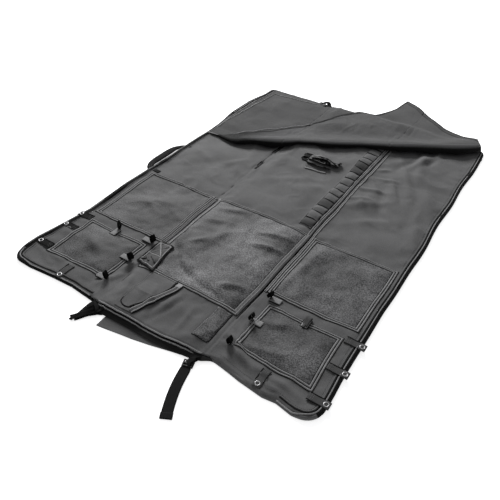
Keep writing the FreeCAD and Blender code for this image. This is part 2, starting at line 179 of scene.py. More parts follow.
def relief(side, x, y):
    """Simulated wrinkle height of a zone, read from its grid."""
    if side not in RELIEF:
        return np.zeros(np.broadcast(x, y).shape)
    x0, y0, heights = RELIEF[side]
    rows, columns = heights.shape
    u = np.clip((x - x0) / RELIEF_STEP, 0, columns - 1.001)
    v = np.clip((y - y0) / RELIEF_STEP, 0, rows - 1.001)
    i, j = v.astype(int), u.astype(int)
    u, v = smooth(u - j), smooth(v - i)
    low = heights[i, j] * (1 - u) + heights[i, j + 1] * u
    high = heights[i + 1, j] * (1 - u) + heights[i + 1, j + 1] * u
    return low * (1 - v) + high * v


def top(x, y):
    """Height of the lining at a place in the plan."""
    x, y = np.asarray(x, float), np.asarray(y, float)
    away = np.abs(x)
    centre = CENTRE_HEIGHT + CENTRE_RISE * smooth((FOLD - away) / CENTRE_SLOPE)
    wing = WING_TOP - WING_SINK + WING_RISE * smooth(1 - (away - FOLD) / WING_SLOPE)
    height = np.where(away < FOLD, centre, wing)
    for side in SIGN:
        place, depth = fold_line(side, y)
        height = height - GROOVE_DEPTH * depth * np.exp(-((x - place) / GROOVE_WIDTH) ** 2)
    quiet = np.ones_like(height)
    for name, puff in GRIP_PUFF.items():
        mask = grip_mask(x, y, name, 6)
        height = height + puff * mask
        quiet = np.where(mask > 0, 0.8, quiet)
    height = height + 0.7 * ripples(x, y, 11, 210) + 0.45 * ripples(x, y, 12, 75)
    height = height + quiet * 1.6 * creases(x, y, 21, 190) + quiet * 1.1 * creases(x, y, 33, 120, 0.25)
    for x0, y0, x1, y1, width, rise in FOLDS:
        distance, share = segment_distance(x, y, x0, y0, x1, y1)
        crest = 0.25 + 0.75 * np.sin(math.pi * share)
        height = height + FOLD_STRENGTH * rise * np.exp(-(distance / width) ** 2) * crest
    side = np.where(x < -FOLD, 0, np.where(x > FOLD, 2, 1))
    for number, name in enumerate(("left", "centre", "right")):
        height = height + np.where(side == number, relief(name, x, y), 0)
    return height


# How far the slack borders wander from a straight line: places along them, and the shift there
NEAR_WANDER = ((-450, -2), (-389, -3), (-309, 5), (-246, 9), (-190, 4), (-119, -5), (38, -2), (139, 7), (186, 14),
               (256, 2), (322, -2), (354, 3), (392, -4), (440, -1))
LEFT_WANDER = ((-665, -14), (-631, -22), (-579, -22), (-510, -12), (-401, 2), (-235, -8), (-90, -2), (193, 0),
               (332, -9), (504, -10), (591, 3), (640, 3))
RIGHT_WANDER = ((-640, 2), (-500, 2), (-300, -2), (-60, 2), (200, 0), (480, 3), (640, 0))


def drift(x, y):
    """Small sideways wander of everything sewn from cloth."""
    calm = 1.4
    dx = calm * ripples(x, y, 51, 260)
    dy = calm * ripples(x, y, 52, 260)
    dy = dy + np.interp(x, *zip(*NEAR_WANDER)) * smooth((NEAR + 130 - y) / 120)
    dx = dx + np.interp(y, *zip(*LEFT_WANDER)) * smooth((-x - 392) / 46)
    dx = dx + np.interp(y, *zip(*RIGHT_WANDER)) * smooth((x - 330) / 100)
    return dx, dy


# ---------------------------------------------------------------- mesh builders

def make(name, points, faces, materials, slots=None, soft=True):
    """A mesh object from points in millimetres. Soft ones wander with the cloth."""
    points = np.asarray(points, float).reshape(-1, 3)
    if soft:
        wander_x, wander_y = drift(points[:, 0], points[:, 1])
        points = points + np.stack([wander_x, wander_y, np.zeros(len(points))], axis=1)
    mesh = bpy.data.meshes.new(name)
    mesh.from_pydata((points * MM).tolist(), [], faces)
    for material in materials if isinstance(materials, (list, tuple)) else [materials]:
        mesh.materials.append(material)
    if slots is not None:
        mesh.polygons.foreach_set("material_index", np.asarray(slots, np.int32))
    mesh.polygons.foreach_set("use_smooth", np.full(len(mesh.polygons), True))
    mesh.update()
    piece = bpy.data.objects.new(name, mesh)
    bpy.context.scene.collection.objects.link(piece)
    return piece


def grid_faces(rows, columns, start=0, loop=False, flip=False):
    """Quads of a grid of points, row by row; loop joins the last row to the first."""
    faces = []
    for i in range(rows if loop else rows - 1):
        a, b = start + i * columns, start + ((i + 1) % rows) * columns
        for j in range(columns - 1):
            quad = (a + j, b + j, b + j + 1, a + j + 1)
            faces.append(quad[::-1] if flip else quad)
    return faces


def shell_faces(rows, columns, loop=False):
    """Faces of a closed sheet of two grids of points: the upper ones, the lower ones and the side walls."""
    count = rows * columns
    walls = []
    for i in range(rows if loop else rows - 1):
        a, b = i * columns, ((i + 1) % rows) * columns
        walls.append((a, a + count, b + count, b))
        walls.append((b + columns - 1, b + columns - 1 + count, a + columns - 1 + count, a + columns - 1))
    if not loop:
        last = (rows - 1) * columns
        for j in range(columns - 1):
            walls.append((j + 1, j + 1 + count, j + count, j))
            walls.append((last + j, last + j + count, last + j + 1 + count, last + j + 1))
    return grid_faces(rows, columns, 0, loop), grid_faces(rows, columns, count, loop, True), walls


def two_layers(upper, lower):
    """Points of two grids, one after the other."""
    return np.concatenate([upper.reshape(-1, 3), lower.reshape(-1, 3)])


def solid_sheet(name, grid, thickness, material, loop=False, soft=True):
    """A closed sheet of even thickness under a grid of points."""
    grid = np.asarray(grid, float)
    normal = np.cross(np.gradient(grid, axis=0), np.gradient(grid, axis=1))
    normal /= np.maximum(np.linalg.norm(normal, axis=2, keepdims=True), 1e-9)
    if normal[..., 2].mean() < 0:
        normal = -normal
    upper, lower, walls = shell_faces(*grid.shape[:2], loop)
    return make_closed(name, two_layers(grid, grid - normal * thickness), upper + lower + walls, material, soft=soft)


def laid_sheet(name, x, y, z, thickness, material, soft=True):
    """A closed sheet from grids of its places and heights."""
    return solid_sheet(name, np.dstack([x, y, z]), thickness, material, soft=soft)


@contextmanager
def edited(piece):
    """The mesh of a piece as a bmesh, written back afterwards."""
    mesh = bmesh.new()
    mesh.from_mesh(piece.data)
    yield mesh
    mesh.to_mesh(piece.data)
    mesh.free()


def outward(piece):
    """Turns every face outward."""
    with edited(piece) as mesh:
        bmesh.ops.recalc_face_normals(mesh, faces=mesh.faces)
    return piece


def make_closed(*values, **options):
    """A mesh object whose faces all point outward."""
    return outward(make(*values, **options))


def resample(line, step):
    """Points evenly along a polyline."""
    line = np.asarray(line, float)
    lengths = np.concatenate([[0], np.cumsum(np.linalg.norm(np.diff(line, axis=0), axis=1))])
    count = max(2, int(round(lengths[-1] / step)) + 1)
    marks = np.linspace(0, lengths[-1], count)
    return np.stack([np.interp(marks, lengths, line[:, k]) for k in range(line.shape[1])], axis=1)


def picked(line, count):
    """A number of points along a polyline, out of those at whole millimetres."""
    fine = resample(line, 1)
    return fine[np.linspace(0, len(fine) - 1, count).astype(int)]


def plan_sides(line):
    """Unit vectors to the right of a line in the plan."""
    ahead = np.gradient(line, axis=0)
    ahead = ahead / np.maximum(np.linalg.norm(ahead, axis=1, keepdims=True), 1e-9)
    return np.stack([ahead[:, 1], -ahead[:, 0]], axis=1)


def level_sides(path):
    """Level unit vectors to the right of a line in space."""
    sides = np.cross(np.gradient(path, axis=0), [0, 0, 1.0])
    return sides / np.linalg.norm(sides, axis=1, keepdims=True)


def level_line(x, y0, y1, count):
    """Evenly spaced places along Y in the plan."""
    return np.stack([np.full(count, x), np.linspace(y0, y1, count)], axis=1)


def plan_grid(low, high, columns, rows):
    """X and Y of an even grid of places between two corners."""
    return np.meshgrid(np.linspace(low[0], high[0], columns), np.linspace(low[1], high[1], rows))


def surface_ribbon(name, line, width, lift, material, profile=(0, 0.8, 1.0, 0.8, 0), thickness=1.0, height=top):
    """A tape lying on the mat along a line in the plan; profile gives its height across."""
    line = np.asarray(line, float)
    sides = plan_sides(line)
    width = np.broadcast_to(width, len(line))
    offsets = np.linspace(-0.5, 0.5, len(profile))[None, :] * width[:, None]
    grid = line[:, None, :] + sides[:, None, :] * offsets[:, :, None]
    z = height(grid[..., 0], grid[..., 1]) + lift + np.asarray(profile)[None, :]
    return solid_sheet(name, np.dstack([grid, z]), thickness, material)


def frame_ribbon(name, low, high, inset, width, lift, material, rise=1.0, thickness=1.0):
    """A tape round a rectangle with mitred corners; its middle lies at a distance inside the rectangle."""
    offsets = np.linspace(-width / 2, width / 2, 5)
    bow = rise * (1 - (np.abs(offsets) / (width / 2)) ** 2.5)
    loops = []
    for offset in offsets:
        gap = inset + offset
        x0, y0, x1, y1 = low[0] + gap, low[1] + gap, high[0] - gap, high[1] - gap
        corners = np.array([(x0, y0), (x1, y0), (x1, y1), (x0, y1), (x0, y0)])
        line = []
        for start, end in zip(corners[:-1], corners[1:]):
            line.append(start + (end - start) * np.linspace(0, 1, 50, endpoint=False)[:, None])
        loops.append(np.concatenate(line))
    grid = np.stack(loops, axis=1)
    z = top(grid[..., 0], grid[..., 1]) + lift + bow[None, :]
    return solid_sheet(name, np.dstack([grid, z]), thickness, material, loop=True)


def ring_faces(rings, sides):
    """Faces of a closed tube whose points are rings of equal size, one after the other."""
    faces = []
    for i in range(rings - 1):
        for j in range(sides):
            k = (j + 1) % sides
            faces.append((i * sides + j, i * sides + k, (i + 1) * sides + k, (i + 1) * sides + j))
    faces.append(tuple(range(sides - 1, -1, -1)))
    faces.append(tuple((rings - 1) * sides + j for j in range(sides)))
    return faces


def tube(name, path, radius, material, sides=8):
    """A round tube along a path in space."""
    path = np.asarray(path, float)
    ahead = np.gradient(path, axis=0)
    ahead /= np.maximum(np.linalg.norm(ahead, axis=1, keepdims=True), 1e-9)
    side = np.cross(ahead, np.array([0, 0, 1.0]))
    weak = np.linalg.norm(side, axis=1) < 0.2
    side[weak] = np.cross(ahead[weak], np.array([1.0, 0, 0]))
    side /= np.linalg.norm(side, axis=1, keepdims=True)
    lift = np.cross(side, ahead)
    turn = np.linspace(0, 2 * math.pi, sides, endpoint=False)
    ring = (side[:, None, :] * np.cos(turn)[None, :, None] + lift[:, None, :] * np.sin(turn)[None, :, None])
    points = (path[:, None, :] + ring * radius).reshape(-1, 3)
    return make_closed(name, points, ring_faces(len(path), sides), material)


def join(name, pieces):
    """One object from several, keeping their materials."""
    base = pieces[0]
    bpy.ops.object.select_all(action="DESELECT")
    for piece in pieces:
        piece.select_set(True)
    bpy.context.view_layer.objects.active = base
    if len(pieces) > 1:
        bpy.ops.object.join()
    base.name = name
    base.data.name = name
    return base


def stitches(name, lines, material, lift=0.25, pitch=4.2, length=2.7, radius=0.42, soft=True):
    """Rows of thread along lines in the plan, or in space where they have heights."""
    middles, ways = [], []
    for line in lines:
        marks = resample(np.asarray(line, float), pitch)
        if marks.shape[1] == 2:
            marks = np.column_stack([marks, top(marks[:, 0], marks[:, 1])])
        middles.append((marks[:-1] + marks[1:]) / 2)
        ways.append(marks[1:] - marks[:-1])
    middle = np.concatenate(middles) + [0, 0, lift]
    way = np.concatenate(ways)
    way /= np.maximum(np.linalg.norm(way, axis=1, keepdims=True), 1e-9)
    side = np.cross(way, [0, 0, 1.0])
    side /= np.maximum(np.linalg.norm(side, axis=1, keepdims=True), 1e-6)
    up = np.cross(side, way)
    shape = [middle - way * length / 2, middle + way * length / 2, middle + side * radius, middle + up * radius,
             middle - side * radius, middle - up * radius]
    points = np.stack(shape, axis=1).reshape(-1, 3)
    cell = []
    for a, b in ((2, 3), (3, 4), (4, 5), (5, 2)):
        cell += [(0, b, a), (1, a, b)]
    faces = [tuple(base * 6 + k for k in face) for base in range(len(middle)) for face in cell]
    return make_closed(name, points, faces, material, soft=soft)


def ride(piece, body, slot, *replaced):
    """Puts a finished piece on its CAD body and hides the CAD nodes that it stands for; slot is not used."""
    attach(piece, body)
    if replaced:
        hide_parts(*replaced)
    return piece


def lay_ribbon(host, name, *values, **options):
    """A tape on the mat that rides a body; host is the body and the finish."""
    return ride(surface_ribbon(name, *values, **options), *host)


# ---------------------------------------------------------------- materials

class Shader:
    """A principled material built from small node recipes in the object's own coordinates (metres)."""

    def __init__(self, name, roughness, sheen=0.0, metallic=0.0, specular=0.5):
        """A principled shader with even values, to be joined to nodes."""
        self.material = bpy.data.materials.new(name)
        self.material.use_nodes = True
        self.nodes = self.material.node_tree.nodes
        self.links = self.material.node_tree.links
        self.surface = self.nodes["Principled BSDF"]
        for socket, value in (("Roughness", roughness), ("Sheen Weight", sheen), ("Sheen Roughness", 0.4),
                              ("Metallic", metallic), ("Specular IOR Level", specular)):
            self.surface.inputs[socket].default_value = value
        self.place = self.nodes.new("ShaderNodeTexCoord").outputs["Object"]
        self.bump_from = None

    def link(self, source, target):
        """Joins an output to an input."""
        self.links.new(source, target)

    def node(self, kind, vector=None, **values):
        """A new node with values for its inputs, and what its Vector comes from."""
        node = self.nodes.new("ShaderNode" + kind)
        for name, value in values.items():
            node.inputs[name].default_value = value
        if vector is not None:
            self.link(vector, node.inputs["Vector"])
        return node

    def noise(self, scale, detail=3, stretch=(1, 1, 1)):
        """Soft cloudy noise."""
        mapping = self.node("Mapping", self.place, Scale=stretch)
        return self.node("TexNoise", mapping.outputs["Vector"], Scale=scale, Detail=detail).outputs["Fac"]

    def cells(self, scale):
        """Distance to the nearest of scattered points."""
        return self.node("TexVoronoi", self.place, Scale=scale).outputs["Distance"]

    def weave(self, pitch, slant=0.0):
        """Over-and-under threads: the product of two crossing waves. pitch is in metres."""
        waves = []
        for turn in (slant, slant + math.pi / 2):
            mapping = self.node("Mapping", self.place, Rotation=(0, 0, turn))
            wave = self.node("TexWave", mapping.outputs["Vector"], Scale=0.314 / pitch, Distortion=0.6)
            waves.append(wave.outputs["Fac"])
        return self.math("MULTIPLY", *waves)

    def math(self, kind, a, b):
        """A sum, difference or product of numbers or outputs."""
        node = self.node("Math")
        node.operation = kind
        for socket, value in zip(node.inputs, (a, b)):
            if isinstance(value, (int, float)):
                socket.default_value = value
            else:
                self.link(value, socket)
        return node.outputs["Value"]

    def along(self, axis, start, end):
        """0 to 1 between two places along an axis of the object, in metres."""
        split = self.node("SeparateXYZ", self.place)
        return self.math("MULTIPLY", self.math("SUBTRACT", split.outputs[axis], start), 1 / (end - start))

    def ramp(self, source, stops):
        """Grey shades at places from 0 to 1."""
        node = self.node("ValToRGB")
        elements = node.color_ramp.elements
        while len(elements) < len(stops):
            elements.new(0.5)
        for element, (where, shade) in zip(elements, stops):
            element.position = where
            element.color = (shade, shade, shade * 1.015, 1)
        self.link(source, node.inputs["Fac"])
        return node.outputs["Color"]

    def blend(self, factor, first, second, mode="MIX"):
        """Two colours mixed by a fixed factor."""
        node = self.node("Mix", Factor=factor)
        node.data_type, node.blend_type = "RGBA", mode
        self.link(first, node.inputs["A"])
        self.link(second, node.inputs["B"])
        return node.outputs["Result"]

    def colour(self, source):
        """Sets the base colour."""
        self.link(source, self.surface.inputs["Base Color"])

    def roughness(self, source):
        """Sets the roughness."""
        self.link(source, self.surface.inputs["Roughness"])

    def bump(self, source, depth, strength=1.0):
        """Adds relief; depth is in metres."""
        node = self.node("Bump", Strength=strength, Distance=depth)
        self.link(source, node.inputs["Height"])
        if self.bump_from is not None:
            self.link(self.bump_from, node.inputs["Normal"])
        self.bump_from = node.outputs["Normal"]
        self.link(self.bump_from, self.surface.inputs["Normal"])


def fabric(name, shade, pitch=0.0009, slant=0.0, fade=None):
    """Plain-weave nylon: fine crossing threads, faint mottling, rubbed streaks and a little sheen.

    fade is (axis, start, end, floor): the cloth darkens to a share of its shade towards the start; on the cover's roll
    this darkening is painted shade.
    """
    spread, roughness = 0.12, 0.86
    shader = Shader(name, roughness, 0.06, specular=0.16)
    broad = shader.noise(9, 4)
    fine = shader.noise(700, 2)
    mottled = shader.ramp(broad, ((0.3, shade * (1 - spread)), (0.7, shade * (1 + spread))))
    specks = shader.ramp(fine, ((0.3, shade * 0.66), (0.7, shade * 1.4)))
    cloth = shader.blend(0.45, mottled, specks)
    if fade is not None:
        axis, start, end, floor_share = fade
        # darkening along one axis; on the cover's roll it is painted shade
        darkening = shader.ramp(shader.along(axis, start, end), ((0.0, floor_share), (1.0, 1.0)))
        cloth = shader.blend(1.0, cloth, darkening, "MULTIPLY")
    shader.colour(cloth)
    shader.roughness(shader.ramp(shader.noise(14, 3), ((0.2, roughness - 0.06), (0.8, roughness + 0.1))))
    shader.bump(shader.weave(pitch, slant), 0.00018, 0.7)
    shader.bump(shader.noise(160, 4), 0.0006, 0.35)
    return shader.material


def pebble(name, shade, contrast=1.0):
    """Pebbled rubbery mesh: small raised dots with dark gaps, worn pale in broad patches."""
    shader = Shader(name, 0.7, 0.0, specular=0.3)
    dots = shader.cells(330)
    coarse = shader.noise(300, 3)
    broad = shader.noise(7, 4)
    base = shader.ramp(dots, ((0.12, shade * 2.0), (0.55, shade * 0.3)))
    salt = shader.ramp(coarse, ((0.42, shade * 0.25), (0.6, shade * 2.4)))
    wear = shader.ramp(broad, ((0.36, 1 - 0.45 * contrast), (0.66, 1 + 0.5 * contrast)))
    shader.colour(shader.blend(1.0, shader.blend(0.55, base, salt), wear, "MULTIPLY"))
    shader.roughness(shader.ramp(coarse, ((0.3, 0.6), (0.7, 0.85))))
    shader.bump(shader.math("SUBTRACT", 1.0, dots), 0.0006, 0.9)
    shader.bump(coarse, 0.0005, 0.5)
    return shader.material


def webbing(name, shade, pitch=0.0022, contrast=0.5):
    """Woven tape: a slanted rib pattern with glossy yarns."""
    black, roughness = shade < 0.02, 0.78
    shader = Shader(name, roughness, 0.0 if black else 0.03, specular=0.07 if black else 0.2)
    ribs = shader.weave(pitch, math.radians(40))
    broad = shader.noise(40, 3)
    yarn = shader.ramp(ribs, ((0.1, shade * (1 - contrast)), (0.6, shade * (1 + contrast * 0.6))))
    uneven_tone = shader.ramp(broad, ((0.3, shade * 0.8), (0.75, shade * 1.25)))
    shader.colour(shader.blend(0.35, yarn, uneven_tone))
    shader.roughness(shader.ramp(broad, ((0.2, roughness - 0.08), (0.8, roughness + 0.1))))
    shader.bump(ribs, 0.0005, 0.8)
    return shader.material


def plastic(name, shade, roughness):
    """Moulded acetal: near black, faint flow marks and rubbed edges."""
    shader = Shader(name, roughness, 0.0, specular=0.5)
    cloud = shader.noise(60, 4)
    shader.colour(shader.ramp(cloud, ((0.3, shade * 0.8), (0.75, shade * 1.5))))
    shader.roughness(shader.ramp(shader.noise(300, 3), ((0.3, roughness - 0.08), (0.7, roughness + 0.14))))
    shader.bump(shader.noise(700, 2), 0.0001, 0.5)
    return shader.material


def metal(name, shade, roughness):
    """Plated metal with fine scuffs."""
    shader = Shader(name, roughness, metallic=1.0)
    scuff = shader.noise(500, 4, (1, 1, 0.2))
    shader.colour(shader.ramp(scuff, ((0.3, shade * 0.8), (0.7, shade))))
    shader.roughness(shader.ramp(scuff, ((0.3, roughness), (0.75, roughness + 0.2))))
    shader.bump(shader.noise(900, 2), 0.00008, 0.4)
    return shader.material


LINING = fabric("lining_nylon", 0.095)
COVER = fabric("cover_nylon", 0.062, pitch=0.0008, slant=0.2)
COVER_SEWN = fabric("cover_sewn_nylon", 0.05, pitch=0.0008, slant=0.2)
COVER_BAND = fabric("cover_hem_nylon", 0.045, pitch=0.0008, slant=0.2)
# painted shade: the roll's cloth darkens towards its bottom, standing in for the shadow under the roll
COVER_ROLL = fabric("cover_roll_nylon", 0.062, pitch=0.0008, slant=0.2, fade=("Z", 0.0345, 0.0412, 0.03))
# the turned layer darkens towards its left tip
COVER_TIP_CLOTH = fabric("cover_tip_nylon", 0.062, pitch=0.0008, slant=0.2, fade=("X", -0.315, -0.215, 0.04))
SHELL = fabric("shell_nylon", 0.012, pitch=0.0012)
FLAP = fabric("flap_nylon", 0.1)
GRIP = pebble("grip_pebble", 0.09)
# painted shade: the wing grips' pebble made darker on the left wing, to offset the lamp from the left that lights them
# more
LEFT_GRIP_PAINTED_SHADE = pebble("left_grip_pebble", 0.047)
RIGHT_GRIP = pebble("right_grip_pebble", 0.063)
TAPE = webbing("binding_tape", 0.24, pitch=0.0016, contrast=0.35)
PALE_TAPE = webbing("pale_binding_tape", 0.32, pitch=0.0016, contrast=0.3)
# black webbing; on the curled tabs this black is painted shade
BLACK_TAPE_AND_SHADE = webbing("black_webbing", 0.006)
TAB_TAPE = webbing("tab_webbing", 0.06, contrast=0.4)
LADDER = webbing("ladder_webbing_weave", 0.12, contrast=0.5)
DARK_LADDER = webbing("dark_ladder_webbing", 0.05, contrast=0.5)
PATCH_TAPE = webbing("patch_webbing", 0.075, contrast=0.4)
STRAP = webbing("strap_weave", 0.013)
PILE = pebble("hook_loop_pile", 0.068, 0.4)
# black zip tape; the same black also paints shade in grooves, gaps and openings elsewhere
ZIP_AND_SHADE = webbing("zip_tape", 0.005, pitch=0.0014)
PIPING = webbing("piping_tape", 0.25, pitch=0.0014, contrast=0.3)
THREAD = fabric("thread_dark", 0.008, pitch=0.0006)
PALE_THREAD = fabric("thread_pale", 0.2, pitch=0.0006)
PLASTIC = plastic("black_acetal", 0.004, 0.68)
NICKEL = metal("nickel", 0.38, 0.36)
BLACK_METAL = metal("black_zinc", 0.06, 0.35)


# ---------------------------------------------------------------- padded panels

def row_limit(side, y):
    """How far out the wing reaches at a place along it, with its rounded outer corners."""
    inset = 0 * y
    for corner, end in zip(CORNERS[side], (y - NEAR, FAR - y)):
        inset = np.where(end < corner, corner - np.sqrt(np.maximum(corner ** 2 - (corner - end) ** 2, 0)), inset)
    return OUTER - inset


def edge_round(distance, width, low, high):
    """Quarter-round rise from the middle of the edge to the full height."""
    share = np.clip(distance / width, 0, 1)
    return low + (high - low) * np.sqrt(1 - (1 - share) ** 2)


FOLD_GAP = 4.0
PANEL_STEP = 5.5
UPPER_ROUND, LOWER_ROUND = 9, 6


def padded_panel(name, side, body, replaced):
    """One padded zone as a closed pillow: lining above, shell below, rounded round its free edges."""
    rows = int((FAR - NEAR) / PANEL_STEP)
    along = np.linspace(NEAR, FAR, rows)
    columns, bottom, middle = (62, 10.0, 13.5) if side == "centre" else (54, 0.4, 4.5)
    across = np.linspace(0, 1, columns)
    if side == "centre":
        x = -(FOLD - FOLD_GAP) + across[None, :] * 2 * (FOLD - FOLD_GAP) * np.ones((rows, 1))
        free = np.minimum(along - NEAR, FAR - along)[:, None] * np.ones((1, columns))
        fold = FOLD - FOLD_GAP - np.abs(x)
    else:
        limit = row_limit(side, along)[:, None]
        x = SIGN[side] * (FOLD + FOLD_GAP + across[None, :] * (limit - FOLD - FOLD_GAP))
        free = np.minimum(np.minimum(along - NEAR, FAR - along)[:, None], limit - np.abs(x))
        fold = np.abs(x) - FOLD - FOLD_GAP
    y = along[:, None] * np.ones((1, columns))
    z = edge_round(np.minimum(free, fold + 6), UPPER_ROUND, middle, top(x, y))
    under = edge_round(np.minimum(free, fold + 4), LOWER_ROUND, middle, bottom + 0 * x)
    upper, lower, walls = shell_faces(rows, columns)
    slots = [0] * len(upper) + [1] * (len(lower) + len(walls))
    points = two_layers(np.dstack([x, y, z]), np.dstack([x, y, under]))
    piece = make_closed(name, points, upper + lower + walls, [LINING, SHELL], slots)
    return ride(piece, body, "liner_fabric", *replaced)


TACKS = 9
TACK_RADIUS = 26
SEAM_REACH = RELIEF_STEP * 0.6


def sewn_weight(side, x, y):
    """1 where the lining is sewn down: round its zone, round the grips, and at scattered quilting points."""
    weight = np.full(x.shape, 0.015)
    for name, (low, high) in GRIPS.items():
        if BODY_OF_SIDE[name.split("_")[0]] != BODY_OF_SIDE[side]:
            continue
        outside = np.maximum(np.maximum(low[0] - x, x - high[0]), np.maximum(low[1] - y, y - high[1]))
        weight = np.where(np.abs(outside) < SEAM_REACH, 0.8, weight)
    tacks = np.random.default_rng(5)
    for _ in range(TACKS):
        at_x, at_y = tacks.uniform(x.min(), x.max()), tacks.uniform(y.min(), y.max())
        weight = np.where(np.hypot(x - at_x, y - at_y) < TACK_RADIUS, 0.3, weight)
    border = np.minimum(np.minimum(x - x.min(), x.max() - x), np.minimum(y - y.min(), y.max() - y))
    return np.where(border < SEAM_REACH, 1.0, weight)


# The lining is 1.4 percent too large for its zone, so it buckles between its seams.
CLOTH_SETTINGS = {"quality": 6, "mass": 0.2, "tension_stiffness": 25, "compression_stiffness": 25, "shear_stiffness": 8,
                  "bending_stiffness": 6, "air_damping": 4, "vertex_group_mass": "sewn", "shrink_min": -0.014}
CLOTH_MOMENTS = 28


def simulate_lining(side):
    """Cloth simulation of one lining sheet, cut a little too large for its zone, that buckles between its seams."""
    inner, outer = FOLD, OUTER - 8
    x0, x1 = {"left": (-outer, -inner), "centre": (-inner, inner), "right": (inner, outer)}[side]
    xs = np.arange(x0, x1 + 1, RELIEF_STEP)
    ys = np.arange(NEAR + 6, FAR - 4, RELIEF_STEP)
    x, y = np.meshgrid(xs, ys)
    start = 0.5 * ripples(x, y, 301, 60) + 0.6 * ripples(x, y, 302, 140)
    sheet = make(f"{side}_lining_trial", np.dstack([x, y, start]), grid_faces(*x.shape), LINING, soft=False)
    group = sheet.vertex_groups.new(name="sewn")
    for index, weight in enumerate(sewn_weight(side, x, y).ravel()):
        group.add([index], float(weight), "REPLACE")
    cloth = sheet.modifiers.new("cloth", "CLOTH")
    for setting, value in CLOTH_SETTINGS.items():
        setattr(cloth.settings, setting, value)
    cloth.settings.effector_weights.gravity = 0
    cloth.point_cache.frame_start, cloth.point_cache.frame_end = 1, 30
    scene = bpy.context.scene
    for moment in range(1, CLOTH_MOMENTS + 1):
        scene.frame_set(moment)
    settled = sheet.evaluated_get(bpy.context.evaluated_depsgraph_get()).data
    places = np.empty(len(settled.vertices) * 3)
    settled.vertices.foreach_get("co", places)
    heights = places.reshape(*x.shape, 3)[..., 2] / MM - start
    heights = RELIEF_CAP * np.tanh(RELIEF_SHARE * heights / RELIEF_CAP)
    mesh = sheet.data
    bpy.data.objects.remove(sheet)
    bpy.data.meshes.remove(mesh)
    scene.frame_set(1)
    RELIEF[side] = (xs[0], ys[0], heights)


def simulate_linings():
    for side in ("left", "centre", "right"):
        simulate_lining(side)


def mat_panels():
    """The padded zones."""
    for name, side in (("left_wing_pad", "left"), ("right_wing_pad", "right"), ("centre_pad", "centre")):
        nodes = [f"{side}_{part}" for part in ("outer_shell", "foam_pad", "liner")]
        padded_panel(name, side, BODY_OF_SIDE[side], nodes)


def under_pouch():
    """The flat pouch under the centre zone: a slack bag with rounded sides."""
    low, high = span("under_pouch")
    rows, columns = 130, 36
    u, v = plan_grid((-1, -1), (1, 1), columns, rows)
    low[1] -= 16
    ahead = smooth((-v - 0.93) / 0.05)
    x = (low[0] + high[0]) / 2 + u * (high[0] - low[0]) / 2 + 34 * ahead * smooth((u - 0.5) / 0.5)
    y = (low[1] + high[1]) / 2 + v * (high[1] - low[1]) / 2
    y = y + 13 * smooth((u - 0.84) / 0.16) * smooth((-v - 0.97) / 0.03)
    inset = np.minimum((1 - np.abs(u)) * (high[0] - low[0]) / 2, (1 - np.abs(v)) * (high[1] - low[1]) / 2)
    belly = edge_round(inset, 10, 0, 1 + 0 * x)
    z_top = 5 + 4.8 * belly
    z_low = 5 - 4.4 * belly + 0.25 * belly * (1 + ripples(x, y, 71, 90))
    points = two_layers(np.dstack([x, y, z_top]), np.dstack([x, y, z_low]))
    piece = make_closed("under_pouch_bag", points, sum(shell_faces(rows, columns), []), SHELL)
    ride(piece, "mat_centre", "shell_fabric", "under_pouch")


# ---------------------------------------------------------------- fold strips

STRIP_REACH = 13


def fold_strips():
    """Cloth across each fold line, dipping into the groove between the centre and the wing."""
    for side, sign in SIGN.items():
        line = level_line(sign * FOLD, NEAR + 2, FAR - 2, 240)
        offsets = np.linspace(-STRIP_REACH, STRIP_REACH, 19)
        x = line[:, :1] + offsets[None, :]
        y = line[:, 1:] * np.ones((1, len(offsets)))
        rim = np.clip((STRIP_REACH - np.abs(offsets)) / 5, 0, 1)[None, :]
        z = top(x, y) - 0.6 + 0.9 * rim
        strip = laid_sheet(f"{side}_fold_strip", x, y, z, 1.0, LINING)
        # black faces along the deep part of the fold groove: painted shade
        strip.data.materials.append(ZIP_AND_SHADE)
        start = GRIPS["centre"][0][1] - 12 if side == "right" else GRIPS["left_upper"][0][1] - 20
        for face in strip.data.polygons:
            spot = abs(face.center.x) / MM - FOLD
            depth = fold_line("left", np.array([face.center.y / MM]))[1][0]
            groove_shade = face.center.y / MM > start and (side == "right" or depth > 0.75)
            if groove_shade and -1.6 < spot < (1.6 if side == "right" else STRIP_REACH):
                face.material_index = 1
        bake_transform(strip)


def fold_piping():
    """Pale piping beside the fold lines, along the grips and the seam tape of the right fold."""
    runs = (
        ("right", "mat_centre", FOLD - 7.5, GRIPS["centre"][0][1] - 2, 560),
        ("right", "right_wing", FOLD + 6.5, GRIPS["right_upper"][0][1] - 14, 560),
        ("left", "mat_centre", -FOLD + 7, GRIPS["left_upper"][0][1] - 8, GRIPS["centre"][1][1] + 4),
        ("left", "left_wing", -FOLD - 6.5, GRIPS["left_upper"][0][1] - 10, GRIPS["left_upper"][1][1] + 8),
    )
    for number, (side, body, x, start, end) in enumerate(runs):
        line = level_line(x, start, end, int((end - start) / 6))
        name = f"{side}_fold_piping_{number}"
        # black tape under each pair of pipings, showing between and beside them: painted shade
        lay_ribbon((body, "binding"), name, line, 11, 0.6, ZIP_AND_SHADE, (0, 0.3, 0), 0.9)
        for label, offset in (("a", -2.8), ("b", 2.8)):
            lay_ribbon((body, "binding"), f"{name}_{label}", line + [offset, 0], 4.2, 0.9, PIPING,
                       (0, 1.0, 1.3, 1.0, 0), 0.9)


# ---------------------------------------------------------------- grips

